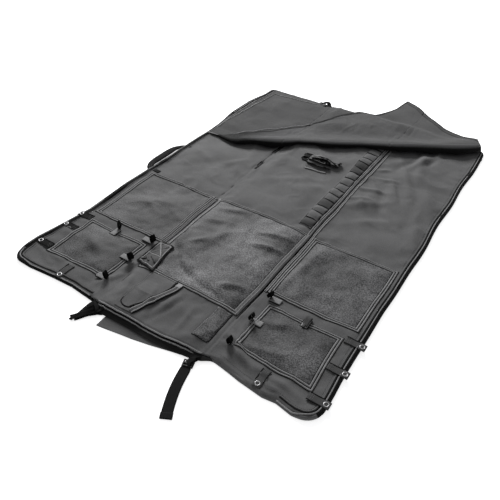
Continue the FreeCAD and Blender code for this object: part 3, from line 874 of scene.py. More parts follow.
def grip_panels():
    """Pebbled grip panels with their bindings."""
    # the left wing's grips take the darker copy of the pebble, which is painted shade
    cloths = {"left": LEFT_GRIP_PAINTED_SHADE, "right": RIGHT_GRIP, "centre": GRIP}
    for name, (low, high) in GRIPS.items():
        side = name.split("_")[0]
        body = BODY_OF_SIDE[side]
        columns, rows = (int((high[axis] - low[axis]) / 4.5) for axis in (0, 1))
        grow = 0 if name == "centre" else BINDING / 2
        rim_low, rim_high = low - grow, high + grow
        x, y = plan_grid(rim_low, rim_high, columns, rows)
        z = top(x, y) + 0.9 + 0.35 * ripples(x, y, 81, 34) * grip_mask(x, y, name)
        panel = laid_sheet(f"{name}_grip_panel", x, y, z, 1.1, cloths[side])
        ride(panel, body, "grip", f"{name}_grip")
        replaced = [f"{side}_grip_bindings"] if name.endswith("upper") else []
        # black tape under the two binding ridges, showing between and beside them: painted shade
        base = frame_ribbon(f"{name}_grip_binding", rim_low, rim_high, 0, BINDING + 5, 1.2, ZIP_AND_SHADE, 0.2, 0.9)
        ride(base, body, "binding", *replaced)
        for label, inset in (("outer", -3.6), ("inner", 2.8)):
            ridge = frame_ribbon(f"{name}_grip_{label}_ridge", rim_low, rim_high, inset, 4.6, 1.4, TAPE, 1.3, 0.9)
            ride(ridge, body, "binding")


# ---------------------------------------------------------------- edges: piping, zipper tape and teeth

def wing_outline(side, inset):
    """The free edge of a wing in the plan, from the near fold line round to the far fold line."""
    near, far = (max(corner - inset, 1.5) for corner in CORNERS[side])
    x, y0, y1 = OUTER - inset, NEAR + inset, FAR - inset
    line = [(FOLD + 3, y0)]
    for cx, cy, radius, start in ((x - near, y0 + near, near, -90), (x - far, y1 - far, far, 0)):
        for turn in np.linspace(start, start + 90, 9):
            angle = math.radians(turn)
            line.append((cx + radius * math.cos(angle), cy + radius * math.sin(angle)))
    line.append((FOLD + 3, y1))
    return resample(np.array(line) * [SIGN[side], 1], 5.0)


def with_height(line, heights):
    """A line in the plan lifted into space."""
    return np.column_stack([line, np.broadcast_to(heights, len(line))])


CUBE_CORNERS = ((-1, -1, -1), (1, -1, -1), (1, 1, -1), (-1, 1, -1), (-1, -1, 1), (1, -1, 1), (1, 1, 1), (-1, 1, 1))
CUBE_SIDES = ((0, 3, 2, 1), (4, 5, 6, 7), (0, 1, 5, 4), (1, 2, 6, 5), (2, 3, 7, 6), (3, 0, 4, 7))
TOOTH_PITCH = 3.2


def zip_teeth(name, path):
    """Coil teeth: short bars across the zip, joined in one piece."""
    marks = resample(path, TOOTH_PITCH)
    points, faces = [], []
    for middle, way in zip(marks, np.gradient(marks, axis=0)):
        way = way / np.linalg.norm(way)
        side = np.array([way[1], -way[0], 0])
        faces += [tuple(len(points) + k for k in quad) for quad in CUBE_SIDES]
        for dx, dy, dz in CUBE_CORNERS:
            points.append(middle + way * dx * 0.9 + side * dy * 0.7 + np.array([0, 0, dz * 1.3]))
    return make_closed(name, points, faces, BLACK_METAL)


def beside(line):
    """0 along the near edge of a wing and 1 along its long side."""
    return smooth((line[:, 1] - NEAR - 12) / 60)


ZIP_NEAR_REACH = 2.0
ZIP_SIDE_REACH = {"left": 9.0, "right": 3.6}


def edge_reach(side, line):
    """How far the zip stands out of the edge: little along the near edge, more along the sides."""
    bow = 4.5 * smooth((line[:, 1] - 300) / 90) * smooth((600 - line[:, 1]) / 60) if side == "left" else 0.0
    return ZIP_NEAR_REACH + (ZIP_SIDE_REACH[side] - ZIP_NEAR_REACH) * beside(line) + bow


def tucked(side, line):
    """How far the zip is tucked under the lining, along the near edge of a wing."""
    share = smooth((NEAR + 34 - line[:, 1]) / 26) * smooth((OUTER - 22 - np.abs(line[:, 0])) / 30)
    return share * (1.0 if side == "right" else 0.6)


# Cross-section of the zip tape: share of its reach, inset, height, and height where it is tucked in
ZIP_RAILS = ((1.0, 0, 3.2, 1.4), (1.18, 0, 6.0, 3.0), (0.85, 0, 9.4, 4.6), (0.3, 0, 11.2, 6.2), (0, 2.5, 11.6, 7.4),
             (0, 5.5, 10.8, 8.2))


def wing_edges():
    """Zip tape turned up round the free edge, piping on the lining inside it, cord at the ground and teeth."""
    for side, sign in SIGN.items():
        body = f"{side}_wing"
        edge = picked(wing_outline(side, 0.0), 420)
        outward_way = plan_sides(edge) * sign
        tuck, out, long_side = tucked(side, edge), edge_reach(side, edge), beside(edge)
        rails = []
        for share, inset, height, low_height in ZIP_RAILS:
            shift = out * share - inset
            rails.append(with_height(edge + outward_way * shift[:, None], height + (low_height - height) * tuck))
        tape = solid_sheet(f"{side}_zip_tape", np.stack(rails, axis=1), 1.0, ZIP_AND_SHADE)
        if side == "right":
            tape.data.materials.append(LINING)
            for face in tape.data.polygons:
                face.material_index = int(face.center.y < (NEAR + 18) * MM)
        ride(tape, body, "zipper", f"{side}_edge_zipper")
        if side == "left":
            shown = slice(4, -4)
            piping_way, groove_way = -7.5 + 9.5 * long_side, -11.5 + 6.5 * long_side
            groove_width = 2.6 + 6.4 * long_side
        else:
            shown = np.nonzero((edge[:, 0] > 330) | (edge[:, 1] > NEAR + 60))[0][4:-4]
            piping_way, groove_way = -7.5 + 3 * long_side, -11.5 + 3 * long_side
            groove_width = 2.0 + 0.6 * long_side
        lip = edge + outward_way * piping_way[:, None] + np.stack([0 * tuck, -6.0 * tuck], axis=1)
        inside = edge + outward_way * np.minimum(piping_way, -7.5)[:, None]
        heights = top(inside[:, 0], inside[:, 1]) + 0.9 - 2.4 * tuck
        piping_path = with_height(lip, heights)[shown]
        ride(tube(f"{side}_edge_piping", resample(piping_path, 4.0), 1.7, PIPING), body, "binding")
        groove = edge + outward_way * groove_way[:, None]
        lay_ribbon((body, "zipper"), f"{side}_edge_groove", groove[shown], groove_width[shown], 0.8, ZIP_AND_SHADE,
                   (0, 0.2, 0.3, 0.2, 0), 0.8)
        second = edge + outward_way * (groove_way - groove_width / 2 - 2.4)[:, None]
        lay_ribbon((body, "binding"), f"{side}_edge_ridge", second[shown], 3.4, 0.4, LINING, (0, 0.9, 1.2, 0.9, 0), 0.8)
        low = tube(f"{side}_edge_cord", with_height(wing_outline(side, 1.0), 2.2), 1.6, ZIP_AND_SHADE)
        ride(low, body, "zipper")
        teeth_line = with_height(edge + outward_way * (out * 1.18)[:, None], 5.0 - 2.6 * tuck)
        ride(zip_teeth(f"{side}_zip_teeth", teeth_line[edge[:, 1] > NEAR + 30]), body, "zipper")
        seam = wing_outline(side, 18.5)
        ride(stitches(f"{side}_edge_thread", [seam[3:-3]], THREAD, 0.3), body, "zipper")


def near_edge():
    """Two rows of piping, zipper tape, teeth and thread across both ends of the centre zone."""
    x = np.linspace(-FOLD + 4, FOLD - 4, 90)
    crown = np.where(np.abs(x) > FOLD - 22, (np.abs(x) - FOLD + 22) / 18, 0)
    sunk = np.column_stack([0 * x, 0 * x, crown])
    for label, y, sign in (("near", NEAR, -1), ("far", FAR, 1)):
        line = np.stack([x, np.full_like(x, y)], axis=1)
        crest = top(x, np.full_like(x, y - sign * 12)) - 1.6

        def rail(out, drop):
            """A line along the edge, some way out of it and below its crest."""
            return np.column_stack([line + [0, sign * out], crest - drop])

        for name, path, radius in (("piping", rail(-4.0, -0.6), 1.9), ("second_piping", rail(2.2, 4.6), 1.7)):
            ride(tube(f"centre_{label}_{name}", path, radius, PIPING), "mat_centre", "binding")
        grid = [rail(-2.0, 0.6), rail(0.2, 2.0), rail(1.6, 4.6), rail(3.4, 7.0) - sunk, rail(3.0, 9.0) - sunk]
        tape = solid_sheet(f"centre_{label}_zip_tape", np.stack(grid, axis=1), 1.0, ZIP_AND_SHADE)
        replaced = ["near_zipper"] if label == "near" else []
        ride(tape, "mat_centre", "zipper", *replaced)
        ride(zip_teeth(f"centre_{label}_zip_teeth", rail(3.8, 7.4)), "mat_centre", "zipper")
        seam = [np.stack([x[3:-3], np.full(len(x) - 6, y - sign * 10)], axis=1)]
        ride(stitches(f"centre_{label}_thread", seam, THREAD, 0.3), "mat_centre", "zipper")


# ---------------------------------------------------------------- small hard pieces

def box_points(low, high, bevel):
    """A bevelled block as a bmesh, in millimetres."""
    mesh = bmesh.new()
    bmesh.ops.create_cube(mesh, size=1)
    size = np.array(high) - np.array(low)
    middle = (np.array(high) + np.array(low)) / 2
    for vertex in mesh.verts:
        vertex.co = Vector(np.array(vertex.co) * size + middle)
    bmesh.ops.bevel(mesh, geom=mesh.edges[:], offset=bevel, segments=3, affect="EDGES", profile=0.6)
    return mesh


def block(name, low, high, bevel, material, matrix=None):
    """A bevelled block; a matrix turns and moves it, in millimetres."""
    mesh = box_points(low, high, bevel)
    for vertex in mesh.verts:
        if matrix is not None:
            vertex.co = matrix @ vertex.co
        vertex.co *= MM
    data = bpy.data.meshes.new(name)
    mesh.to_mesh(data)
    mesh.free()
    data.materials.append(material)
    data.polygons.foreach_set("use_smooth", np.full(len(data.polygons), True))
    piece = bpy.data.objects.new(name, data)
    bpy.context.scene.collection.objects.link(piece)
    return piece


def blocks(name, rows, material=PLASTIC, matrix=None):
    """Bevelled blocks in one piece, each from its low corner, high corner and bevel."""
    return join(name, [block(f"{name}_{number}", *row, material, matrix) for number, row in enumerate(rows)])


def axes_at(*columns):
    """A matrix with three given axes and a place."""
    matrix = Matrix.Identity(4)
    for number, column in enumerate(columns):
        matrix.col[number][:3] = column
    return matrix


LATHE_SIDES = 40


def lathe(name, profile, centre, material):
    """A ring turned about an upright axis; profile is a closed list of (radius, height)."""
    points, faces = [], []
    for angle in np.linspace(0, 2 * math.pi, LATHE_SIDES, endpoint=False):
        for radius, height in profile:
            points.append((centre[0] + radius * math.cos(angle), centre[1] + radius * math.sin(angle),
                           centre[2] + height))
    count = len(profile)
    for i in range(LATHE_SIDES):
        k = (i + 1) % LATHE_SIDES
        for j in range(count):
            m = (j + 1) % count
            faces.append((i * count + j, k * count + j, k * count + m, i * count + m))
    return make_closed(name, points, faces, material, soft=False)


# Top, base, wedge, bridge and pull of a slider: low corner, high corner and bevel
SLIDER_BLOCKS = (
    ((-6.5, -2.6, 0.8), (6.5, 2.4, 2.6), 0.6),
    ((-6.5, -2.6, -2.6), (6.5, 2.4, -0.8), 0.6),
    ((2.2, -2.2, -1.2), (5.2, 1.6, 1.2), 0.4),
    ((-3.4, 1.6, -1.8), (3.4, 3.0, 1.8), 0.5),
    ((-6.8, 2.2, -1.6), (5.4, 2.9, 1.6), 0.3),
)


def sliders():
    """Slider bodies with their bridges and pulls: two beside the wings and one at the near edge."""
    for place in ("left", "right", "near"):
        node = f"{place}_zip_slider"
        low, high = span(node)
        middle = (low + high) / 2
        if place == "near":
            ahead, out = np.array([1.0, 0, 0]), np.array([0, -1.0, 0])
        else:
            ahead, out = np.array([0, 1.0, 0]), np.array([np.sign(middle[0]), 0, 0])
        turn = axes_at(ahead, out, np.cross(ahead, out), middle)
        ride(blocks(f"{place}_slider_body", SLIDER_BLOCKS, BLACK_METAL, turn), f"{place}_slider", "slider", node)


# ---------------------------------------------------------------- webbing tabs

def strap_grid(path, width, side, bow=0.0):
    """Grid of a tape along a path in space; side is the unit vector across it."""
    offsets = np.linspace(-width / 2, width / 2, 7)
    path = np.asarray(path, float)
    side = np.asarray(side, float)
    if side.ndim == 1:
        side = np.broadcast_to(side, path.shape)
    grid = path[:, None, :] + side[:, None, :] * offsets[None, :, None]
    grid[..., 2] += bow * (1 - (2 * offsets / width) ** 2)[None, :]
    return grid


def band(name, path, width, side, bow=0.0, thickness=1.3, material=BLACK_TAPE_AND_SHADE):
    """A stiff tape of real thickness along a path in space."""
    return solid_sheet(name, strap_grid(path, width, side, bow), thickness, material, soft=False)


def curve_through(points, step=2.0):
    """A smooth line through a few points (Catmull-Rom)."""
    points = np.asarray(points, float)
    padded = np.vstack([2 * points[0] - points[1], points, 2 * points[-1] - points[-2]])
    out = []
    for i in range(1, len(padded) - 2):
        p0, p1, p2, p3 = padded[i - 1:i + 3]
        count = max(2, int(np.linalg.norm(p2 - p1) / step))
        for t in np.linspace(0, 1, count, endpoint=False):
            out.append(0.5 * (2 * p1 + (p2 - p0) * t + (2 * p0 - 5 * p1 + 4 * p2 - p3) * t * t
                              + (3 * p1 - p0 - 3 * p2 + p3) * t ** 3))
    out.append(points[-1])
    return resample(np.array(out), step)


# Cross-section of an eyelet: radius and height
EYELET = ((4.0, -1.3), (4.4, -1.45), (6.2, -1.3), (6.8, -0.9), (6.2, -0.7), (4.8, -0.6), (4.8, 0.6), (6.2, 0.9),
          (6.9, 1.0), (6.6, 1.5), (5.6, 2.0), (4.9, 1.9), (4.2, 1.4), (4.0, 0.9))
# Side view of a curled tab: reach and height, before its lean and stretch
CURL = ((-6, 0), (-1, 0.4), (-3.5, 6), (-6, 14), (-2, 22), (3.5, 16.5), (6.5, 9), (4, 2.5), (0.5, 3.5))
PALE_CURL = ((0, 12.2), (5, 12.8), (9, 16), (7, 20), (0, 21.5), (-9, 19), (-16, 16.5), (-19, 15.2))
CURL_FOOT = ((-25, 13.6), (-14, 13.6), (-2, 13.2), (5, 12.6))


def tab_root(node, out):
    """Where a tab is sewn on, at the ground, the way it points, and the way across it."""
    low, high = span(node)
    out = np.array([*out, 0.0])
    root = (low + high) / 2 - out * abs(np.dot(high - low, out)) / 2
    root[2] = 0
    return root, out, np.array([out[1], -out[0], 0])


def eyelet_tab(name, node, body, out, seed):
    """A flat webbing tab that ends in a nickel eyelet past the edge. out is the way it points in the plan."""
    root, out, across = tab_root(node, out)
    droop = np.random.default_rng(seed).uniform(0.2, 1.4)
    rows = [(0, 12.0), (6, 12.4), (14, 12.2), (24, 12.1), (34, 12.5), (42, 12.5), (50, 12.4 - droop),
            (52.5, 11.4 - droop), (50.5, 10.6 - droop), (43, 10.9)]

    def sewn_down(place, height, clear):
        """A point over the lining, never lower than its surface."""
        return np.array([place[0], place[1], max(height, float(top(place[0], place[1])) + clear)])

    path = curve_through([sewn_down(root + out * d, z, 0.9) if d < 30 else root + out * d + np.array([0, 0, z])
                          for d, z in rows], 1.6)
    strap = band(f"{name}_web", path, 20.0, across, 0.15, 1.3, BLACK_TAPE_AND_SHADE if out[0] < -0.5 else TAB_TAPE)
    eyelet = lathe(f"{name}_eyelet", EYELET, root + out * 43 + np.array([0, 0, 11.7]), NICKEL)
    rim_line = [root + out * d for d in (1, 9, 18, 27, 36)]
    rim = []
    for number, place in enumerate((-10, 10)):
        line = curve_through([sewn_down(p + across * place, 13.2, 1.9) for p in rim_line], 4.0)
        rim.append(band(f"{name}_side_{number}", line, 1.6, across, 0.0, 0.9, ZIP_AND_SHADE))
    ride(join(f"{name}_sides", rim), body, "eyelet_tab")
    lines = [[sewn_down(root + out * d + across * side, 12.4, 0.9) for side in (-8, 8)] for d in (3.5, 8.0, 12.5)]
    thread = stitches(f"{name}_bartack", lines, PALE_THREAD, 0.25, 2.4, 2.2, 0.4, soft=False)
    ride(strap, body, "eyelet_tab", node)
    for piece in (eyelet, thread):
        ride(piece, body, "eyelet_tab")


def curled_tab(name, node, body, out, seed, wing, pale=False):
    """A webbing tab that stands up and curls over from its sewn end."""
    random = np.random.default_rng(seed)
    root, out, across = tab_root(node, out)
    tall = random.uniform(1.0, 1.25)
    lean = random.uniform(-4, 7)
    rows = PALE_CURL if pale else [(5 + d + lean * z / 22, 12 + z * tall) for d, z in CURL]
    path = curve_through([root + out * d + np.array([0, 0, z]) for d, z in rows], 1.5)
    share = np.linspace(0, 1, len(path))
    twist = random.uniform(-0.7, 0.7)
    side = across[None, :] * np.cos(twist * share)[:, None] + out[None, :] * np.sin(twist * share)[:, None]
    # painted shade: the curls are drawn in black webbing, though they are tab webbing standing up in its own shadow
    strap = band(f"{name}_web", path, 16.0 if pale else 11.5, side, 0.0, 1.5, TAB_TAPE if pale else BLACK_TAPE_AND_SHADE)
    ride(strap, body, "webbing", node)
    if pale:
        tip = path[-1]
        cap = block(f"{name}_cap", tip - [4, 9, 1.6], tip + [2.5, 9, 1.4], 0.9, PLASTIC)
        ride(cap, body, "webbing")
        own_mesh(cap)
    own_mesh(strap)
    foot = curve_through([root + out * d + np.array([0, 0, z]) for d, z in CURL_FOOT], 2.0)
    ride(band(f"{name}_foot_rim", foot + [0, 0, -0.5], 21, across, 0.0, 1.0, ZIP_AND_SHADE), f"{wing}_wing", "webbing")
    sole = band(f"{name}_foot", foot, 17, across, 0.2, 1.3, TAPE)
    lines = [[root + out * d + way * 7 + [0, 0, 13.2] for way in (-across, across)] for d in (-22, -7, -3, 1)]
    thread = stitches(f"{name}_foot_thread", lines, THREAD, 0.3, 2.6, 2.4, 0.5, soft=False)
    for piece in (sole, thread):
        ride(piece, f"{wing}_wing", "webbing")


def tabs():
    """Three flat tabs out and three curled tabs in on each wing, and one of each at its near and far end."""
    for side, sign in SIGN.items():
        for number in (1, 2, 3):
            eyelet_tab(f"{side}_flat_tab_{number}", f"{side}_outer_tab_{number}",
                       f"{side}_outer_tab_body_{number}", (sign, 0), 100 + number + 10 * sign)
            curled_tab(f"{side}_curled_tab_{number}", f"{side}_inner_tab_{number}",
                       f"{side}_inner_tab_body_{number}", (-sign, 0), 200 + number + 10 * sign, side)
        eyelet_tab(f"{side}_flat_tab_near", f"{side}_near_tab", f"{side}_near_tab_body", (0, -1), 130 + sign)
        curled_tab(f"{side}_curled_tab_top", f"{side}_top_tab", f"{side}_top_tab_body", (0, 1), 230 + sign, side,
                   pale=side == "right")


# ---------------------------------------------------------------- webbing, patches and pocket on the centre

LADDER_PITCH = 38.0
LADDER_START = 5
LADDER_HALF = 19
LADDER_HOST = ("mat_centre", "ladder")


def ladder():
    """Daisy-chain webbing: raised loops between bartacks, and a row of thread at each bartack."""
    low, high = span("ladder_webbing")
    x = (low[0] + high[0]) / 2
    y = np.arange(low[1], high[1], 2.0)
    run = y - low[1] - LADDER_START
    number = (run // LADDER_PITCH).astype(int)
    phase = (run % LADDER_PITCH) / LADDER_PITCH
    random = np.random.default_rng(7)
    loop_height = random.uniform(1.6, 4.2, 40)[number]
    offsets = np.linspace(-LADDER_HALF, LADDER_HALF, 11)
    lean = random.uniform(-0.22, 0.22, 40)[number][:, None] * (offsets / LADDER_HALF)[None, :]
    wave = np.sin(math.pi * np.clip((phase[:, None] + lean - 0.1) / 0.8, 0, 1))
    rise = loop_height[:, None] * np.clip(wave, 0, 1) ** 0.7
    xs = x + offsets[None, :] + 0 * y[:, None]
    ys = y[:, None] + 0 * xs
    z = top(xs, ys) + 1.4 + rise * (1 - 0.25 * (offsets / LADDER_HALF) ** 4)[None, :]
    strap = laid_sheet("ladder_loops", xs, ys, z, 1.2, LADDER)
    strap.data.materials.append(DARK_LADDER)
    # some loops are drawn darker, picked at random
    uneven_tone = random.uniform(0, 1, 40) < 0.3
    for face in strap.data.polygons:
        face.material_index = int(uneven_tone[int((face.center.y / MM - low[1] - LADDER_START) // LADDER_PITCH)])
    ride(strap, *LADDER_HOST, "ladder_webbing")
    line = level_line(x, low[1], high[1], 200)
    lay_ribbon(LADDER_HOST, "ladder_backing", line, 42, 0.3, ZIP_AND_SHADE, (0, 0.3, 0.4, 0.3, 0), 0.6)
    bars = [low[1] + LADDER_START + number * LADDER_PITCH for number in range(16)]
    lines = [[(x - 18, bar + shift), (x + 18, bar + shift)] for bar in bars for shift in (-2.4, -0.8, 0.8, 2.4)]
    ride(stitches("ladder_bartacks", lines, THREAD, 1.8, 2.6, 2.5, 0.8), *LADDER_HOST)
    # black bars across the ladder at each bartack, where the loops dip: painted shade
    bar_shades = []
    for number, bar in enumerate(bars):
        xs = np.linspace(x - LADDER_HALF, x + LADDER_HALF, 12)
        cut = np.stack([xs, np.full(12, min(bar, high[1] - 2.0))], axis=1)
        bar_shades.append(surface_ribbon(f"ladder_cut_{number}", cut, 3.2, 1.7, ZIP_AND_SHADE, (0, 0.5, 0), 0.8))
    ride(join("ladder_cuts", bar_shades), *LADDER_HOST)
    for label, reach, width, lift, material, rise in (("line", 19.6, 2.4, 1.2, ZIP_AND_SHADE, 0.4),
                                                      ("tape", 22, 5, 0.4, LINING, 0.5)):
        for number, offset in enumerate((-reach, reach)):
            line = level_line(x + offset, low[1], high[1], 120)
            lay_ribbon(LADDER_HOST, f"ladder_side_{label}_{number}", line, width, lift, material, (0, rise, 0), 0.8)


POCKET_HOST = ("mat_centre", "binding")
POCKET_GAPE = 3.6


def slip_pocket():
    """Flat patch pocket whose bound mouth curves from the near edge up to the corner of the centre grip."""
    low, high = span("slip_pocket")
    rows, columns = 50, 34
    left = low[0] + 50
    mouth = curve_through([(high[0] - 40, low[1] - 16), (high[0] - 30, low[1] + 8), (high[0] - 13, low[1] + 52),
                           (high[0] + 3, low[1] + 95), (high[0] + 4, high[1] - 3)], 2.0)
    rim = picked(mouth, rows)
    share = np.linspace(0, 1, rows)
    gape = POCKET_GAPE * np.sin(math.pi * share)
    u = np.linspace(0, 1, columns)[None, :]
    x = left + (rim[:, :1] - left) * u
    y = rim[:, 1:] * np.ones((1, columns))
    z = top(x, y) + 1.5 + gape[:, None] * smooth((u - 0.6) / 0.4)
    panel = laid_sheet("slip_pocket_panel", x, y, z, 1.0, LINING)
    ride(panel, "mat_centre", "liner_fabric", "slip_pocket")

    def pocket_height(px, py):
        """Height of the panel along its mouth."""
        across = np.clip((py - rim[0][1]) / (rim[-1][1] - rim[0][1]), 0, 1)
        return top(px, py) + POCKET_GAPE * np.sin(math.pi * across)

    def mouth_ribbon(name, *values):
        """A ribbon along the mouth, at the height of the panel there."""
        lay_ribbon(POCKET_HOST, name, *values, height=pocket_height)

    sides = plan_sides(rim)
    mouth_ribbon("slip_pocket_binding", rim - sides * 6.5, 12, 1.9, PATCH_TAPE, (0, 0.9, 0.5, 0.9, 0), 1.6)
    for number, offset in enumerate((-1.5, -11.0)):
        mouth_ribbon(f"slip_pocket_ridge_{number}", rim + sides * offset, 3.0, 2.6, PALE_TAPE, (0, 0.8, 0), 1.2)
    mouth_ribbon("slip_pocket_shade", rim + sides * 1.6, 2.4, 0.8, ZIP_AND_SHADE, (0, 0.3, 0), 0.8)
    # black ribbon in the gap between the panel and its bound mouth, widest at the ends: painted shadow
    gap = rim - sides * (13.5 + 5 * (1 - np.sin(math.pi * share)))[:, None]
    gap[-6:, 1] += np.linspace(0, 12, 6)
    width = 1.6 + 5.5 * np.abs(np.cos(math.pi * share)) ** 3
    mouth_ribbon("slip_pocket_mouth", gap[2:], width[2:], 2.4, ZIP_AND_SHADE, (0, 0.4, 0), 0.9)
    # the painted shadow turns along the panel at the near end
    turned = curve_through([gap[2], gap[2] + [-14, -3], (left + 6, rim[0][1] + 16), (left + 2, rim[0][1] + 30)], 2.0)
    lay_ribbon(POCKET_HOST, "slip_pocket_mouth_end", turned, np.linspace(5, 1.6, len(turned)), 1.9, ZIP_AND_SHADE,
               (0, 0.4, 0), 0.9)
    tack = rim[-1] - [7, 6] + np.array([(-6, -8), (8, -7), (9, 7), (-5, 8)])
    ride(quad_sheet("slip_pocket_tack", tack, PALE_TAPE, 4.4), *POCKET_HOST)
    seams = [[(left + offset, rim[0][1] + 24), (left + offset, high[1] - 3)] for offset in (0, 4)]
    seams.append([(left, high[1] - 3), (rim[-1][0] - 20, high[1] - 3)])
    ride(stitches("slip_pocket_seam", seams, THREAD, 1.8, radius=0.5), "mat_centre", "liner_fabric")


def quad_points(corners, columns, rows):
    """Places inside four corners, given near left, near right, far right, far left."""
    u = np.linspace(0, 1, columns)[None, :, None]
    v = np.linspace(0, 1, rows)[:, None, None]
    a, b, c, d = (np.asarray(corner, float)[None, None, :] for corner in corners)
    return (a * (1 - u) + b * u) * (1 - v) + (d * (1 - u) + c * u) * v


def quad_sheet(name, corners, material, lift, crumple=0.0):
    """A sheet of cloth on the mat between four corners."""
    plan = quad_points(corners, 16, 22)
    x, y = plan[..., 0], plan[..., 1]
    z = top(x, y) + lift + crumple * ripples(x, y, 95, 26)
    return laid_sheet(name, x, y, z, 1.2, material)


def quad_border(corners, inset):
    """Closed line inside four corners."""
    grid = quad_points(corners, 101, 101)
    size = np.linalg.norm(np.asarray(corners[1], float) - corners[0])
    tall = np.linalg.norm(np.asarray(corners[3], float) - corners[0])
    i, j = int(round(100 * inset / tall)), int(round(100 * inset / size))
    return [grid[i, j], grid[i, -1 - j], grid[-1 - i, -1 - j], grid[-1 - i, j], grid[i, j]]


def anchor_patch():
    """Skewed webbing anchor with a light border, a boxed cross in its far half and slack folds in its near half."""
    low, high = span("anchor_patch")
    corners = [(low[0] - 16, low[1] + 10), (high[0] + 4, low[1] - 7), (high[0] - 12, high[1] - 9),
               (low[0] - 15, high[1])]
    edge = resample(np.array(quad_border(corners, 0)), 4.0)
    lay_ribbon(LADDER_HOST, "anchor_patch_rim", edge, 4.4, 4.2, ZIP_AND_SHADE, (0, 0.3, 0), 1.6)
    ride(quad_sheet("anchor_webbing_patch", corners, PATCH_TAPE, 3.9, 0.5), *LADDER_HOST, "anchor_patch")
    grid = quad_points(corners, 101, 101)
    near, far, left, right = 45, 93, 10, 90
    box = [grid[near, left], grid[near, right], grid[far, right], grid[far, left]]
    lines = [quad_border(corners, 6), [box[0], box[1]], [box[0], box[2]], [box[1], box[3]]]
    for number, line in enumerate(lines):
        path = resample(np.array(line), 3.0)
        lay_ribbon(LADDER_HOST, f"anchor_ridge_{number}", path, 3.4, 4.4, PALE_TAPE, (0, 0.9, 0), 1.0)
        thread = stitches(f"anchor_thread_{number}", [path + [2.0, 2.0]], THREAD, 5.0, 3.4, 3.2, 0.8)
        ride(thread, *LADDER_HOST)
    slack = (((0.15, 0.3), (0.5, 0.16), 7), ((0.4, 0.36), (0.85, 0.22), 6), ((0.1, 0.1), (0.3, 0.2), 5))
    for number, (start, end, width) in enumerate(slack):
        path = curve_through([grid[int(100 * v), int(100 * u)] for u, v in (start, end)], 2.0)
        lay_ribbon(LADDER_HOST, f"anchor_slack_{number}", path, width, 4.2, PATCH_TAPE, (0, 2.2, 3.0, 2.2, 0), 1.0)


def rectangle(low, high, inset):
    """Closed line inside two corners."""
    x0, y0, x1, y1 = low[0] + inset, low[1] + inset, high[0] - inset, high[1] - inset
    return [(x0, y0), (x1, y0), (x1, y1), (x0, y1), (x0, y0)]


PILE_LIFT = 1.6


def pile_strip():
    """The flat sewn-on strip of hook-and-loop pile, with one round of stitching."""
    low, high = span("hook_loop_strip")
    host = ("mat_centre", "hook_loop")
    x, y = plan_grid(low, high, *(max(4, int((high[axis] - low[axis]) / 4)) for axis in (0, 1)))
    piece = solid_sheet("hook_loop_pile_strip", np.dstack([x, y, top(x, y) + PILE_LIFT]), 1.3, PILE)
    ride(piece, *host, "hook_loop_strip")
    line = rectangle(low, high, 3.5)
    ride(stitches("hook_loop_pile_strip_thread", [line], THREAD, PILE_LIFT + 0.2, 3.6, 2.6, 0.5), *host)
    border = resample(np.array(rectangle(low, high, 0)), 5.0)
    lay_ribbon(host, "hook_loop_pile_strip_rim", border, 2.6, PILE_LIFT - 1.0, ZIP_AND_SHADE, (0, 0.3, 0), 0.8)


def buckle_patch():
    """Skewed webbing patch under the buckle, with two rounds of stitching and a ridge at each end."""
    low, high = span("buckle_patch")
    host = ("mat_centre", "webbing")
    corners = [(low[0] + 14, low[1] - 40), (high[0] + 6, low[1] - 22), (high[0] - 30, high[1] + 10),
               (low[0] - 18, high[1] - 8)]
    ride(quad_sheet("buckle_base_patch", corners, PATCH_TAPE, 1.5, 0.3), *host, "buckle_patch")
    lines = [quad_border(corners, 4), quad_border(corners, 9)]
    ride(stitches("buckle_patch_thread", lines, THREAD, 1.8, 3.6, 2.6, 0.5), *host)
    grid = quad_points(corners, 21, 21)
    for number, row in enumerate((1, 19)):
        lay_ribbon(host, f"buckle_patch_ridge_{number}", grid[row], 7, 1.8, TAPE, (0, 0.8, 1, 0.8, 0), 0.8)


# Loose tape ends round the buckle: x, distance along Y from the buckle's middle, height
BUCKLE_TAPE = ((-36, 0, 27), (-44, 3, 28), (-56, 2, 28), (-64, -4, 24), (-56, -12, 22.6), (-40, -16, 23))
BUCKLE_LOOPS = {
    "near": ((-44, -14, 22), (-28, -29, 26), (-2, -30, 29), (26, -27, 28), (50, -24, 23.5)),
    "far": ((-34, 16, 23), (-14, 20, 29), (12, 20, 32), (34, 15, 29), (58, 8, 24)),
    "left": ((-60, 4, 23), (-62, 17, 27), (-50, 20, 28), (-36, 20, 28), (-34, 8, 25)),
    "right": ((26, 0, 27), (38, 8, 31), (54, 10, 30), (66, 18, 27), (58, 24, 23.4)),
    "end": ((24, -4, 26), (40, -8, 30), (58, -4, 27), (68, 2, 23.4)),
    "over": ((-30, -6, 33), (-10, 1, 34), (14, 6, 34), (30, 4, 32), (38, -10, 26)),
}


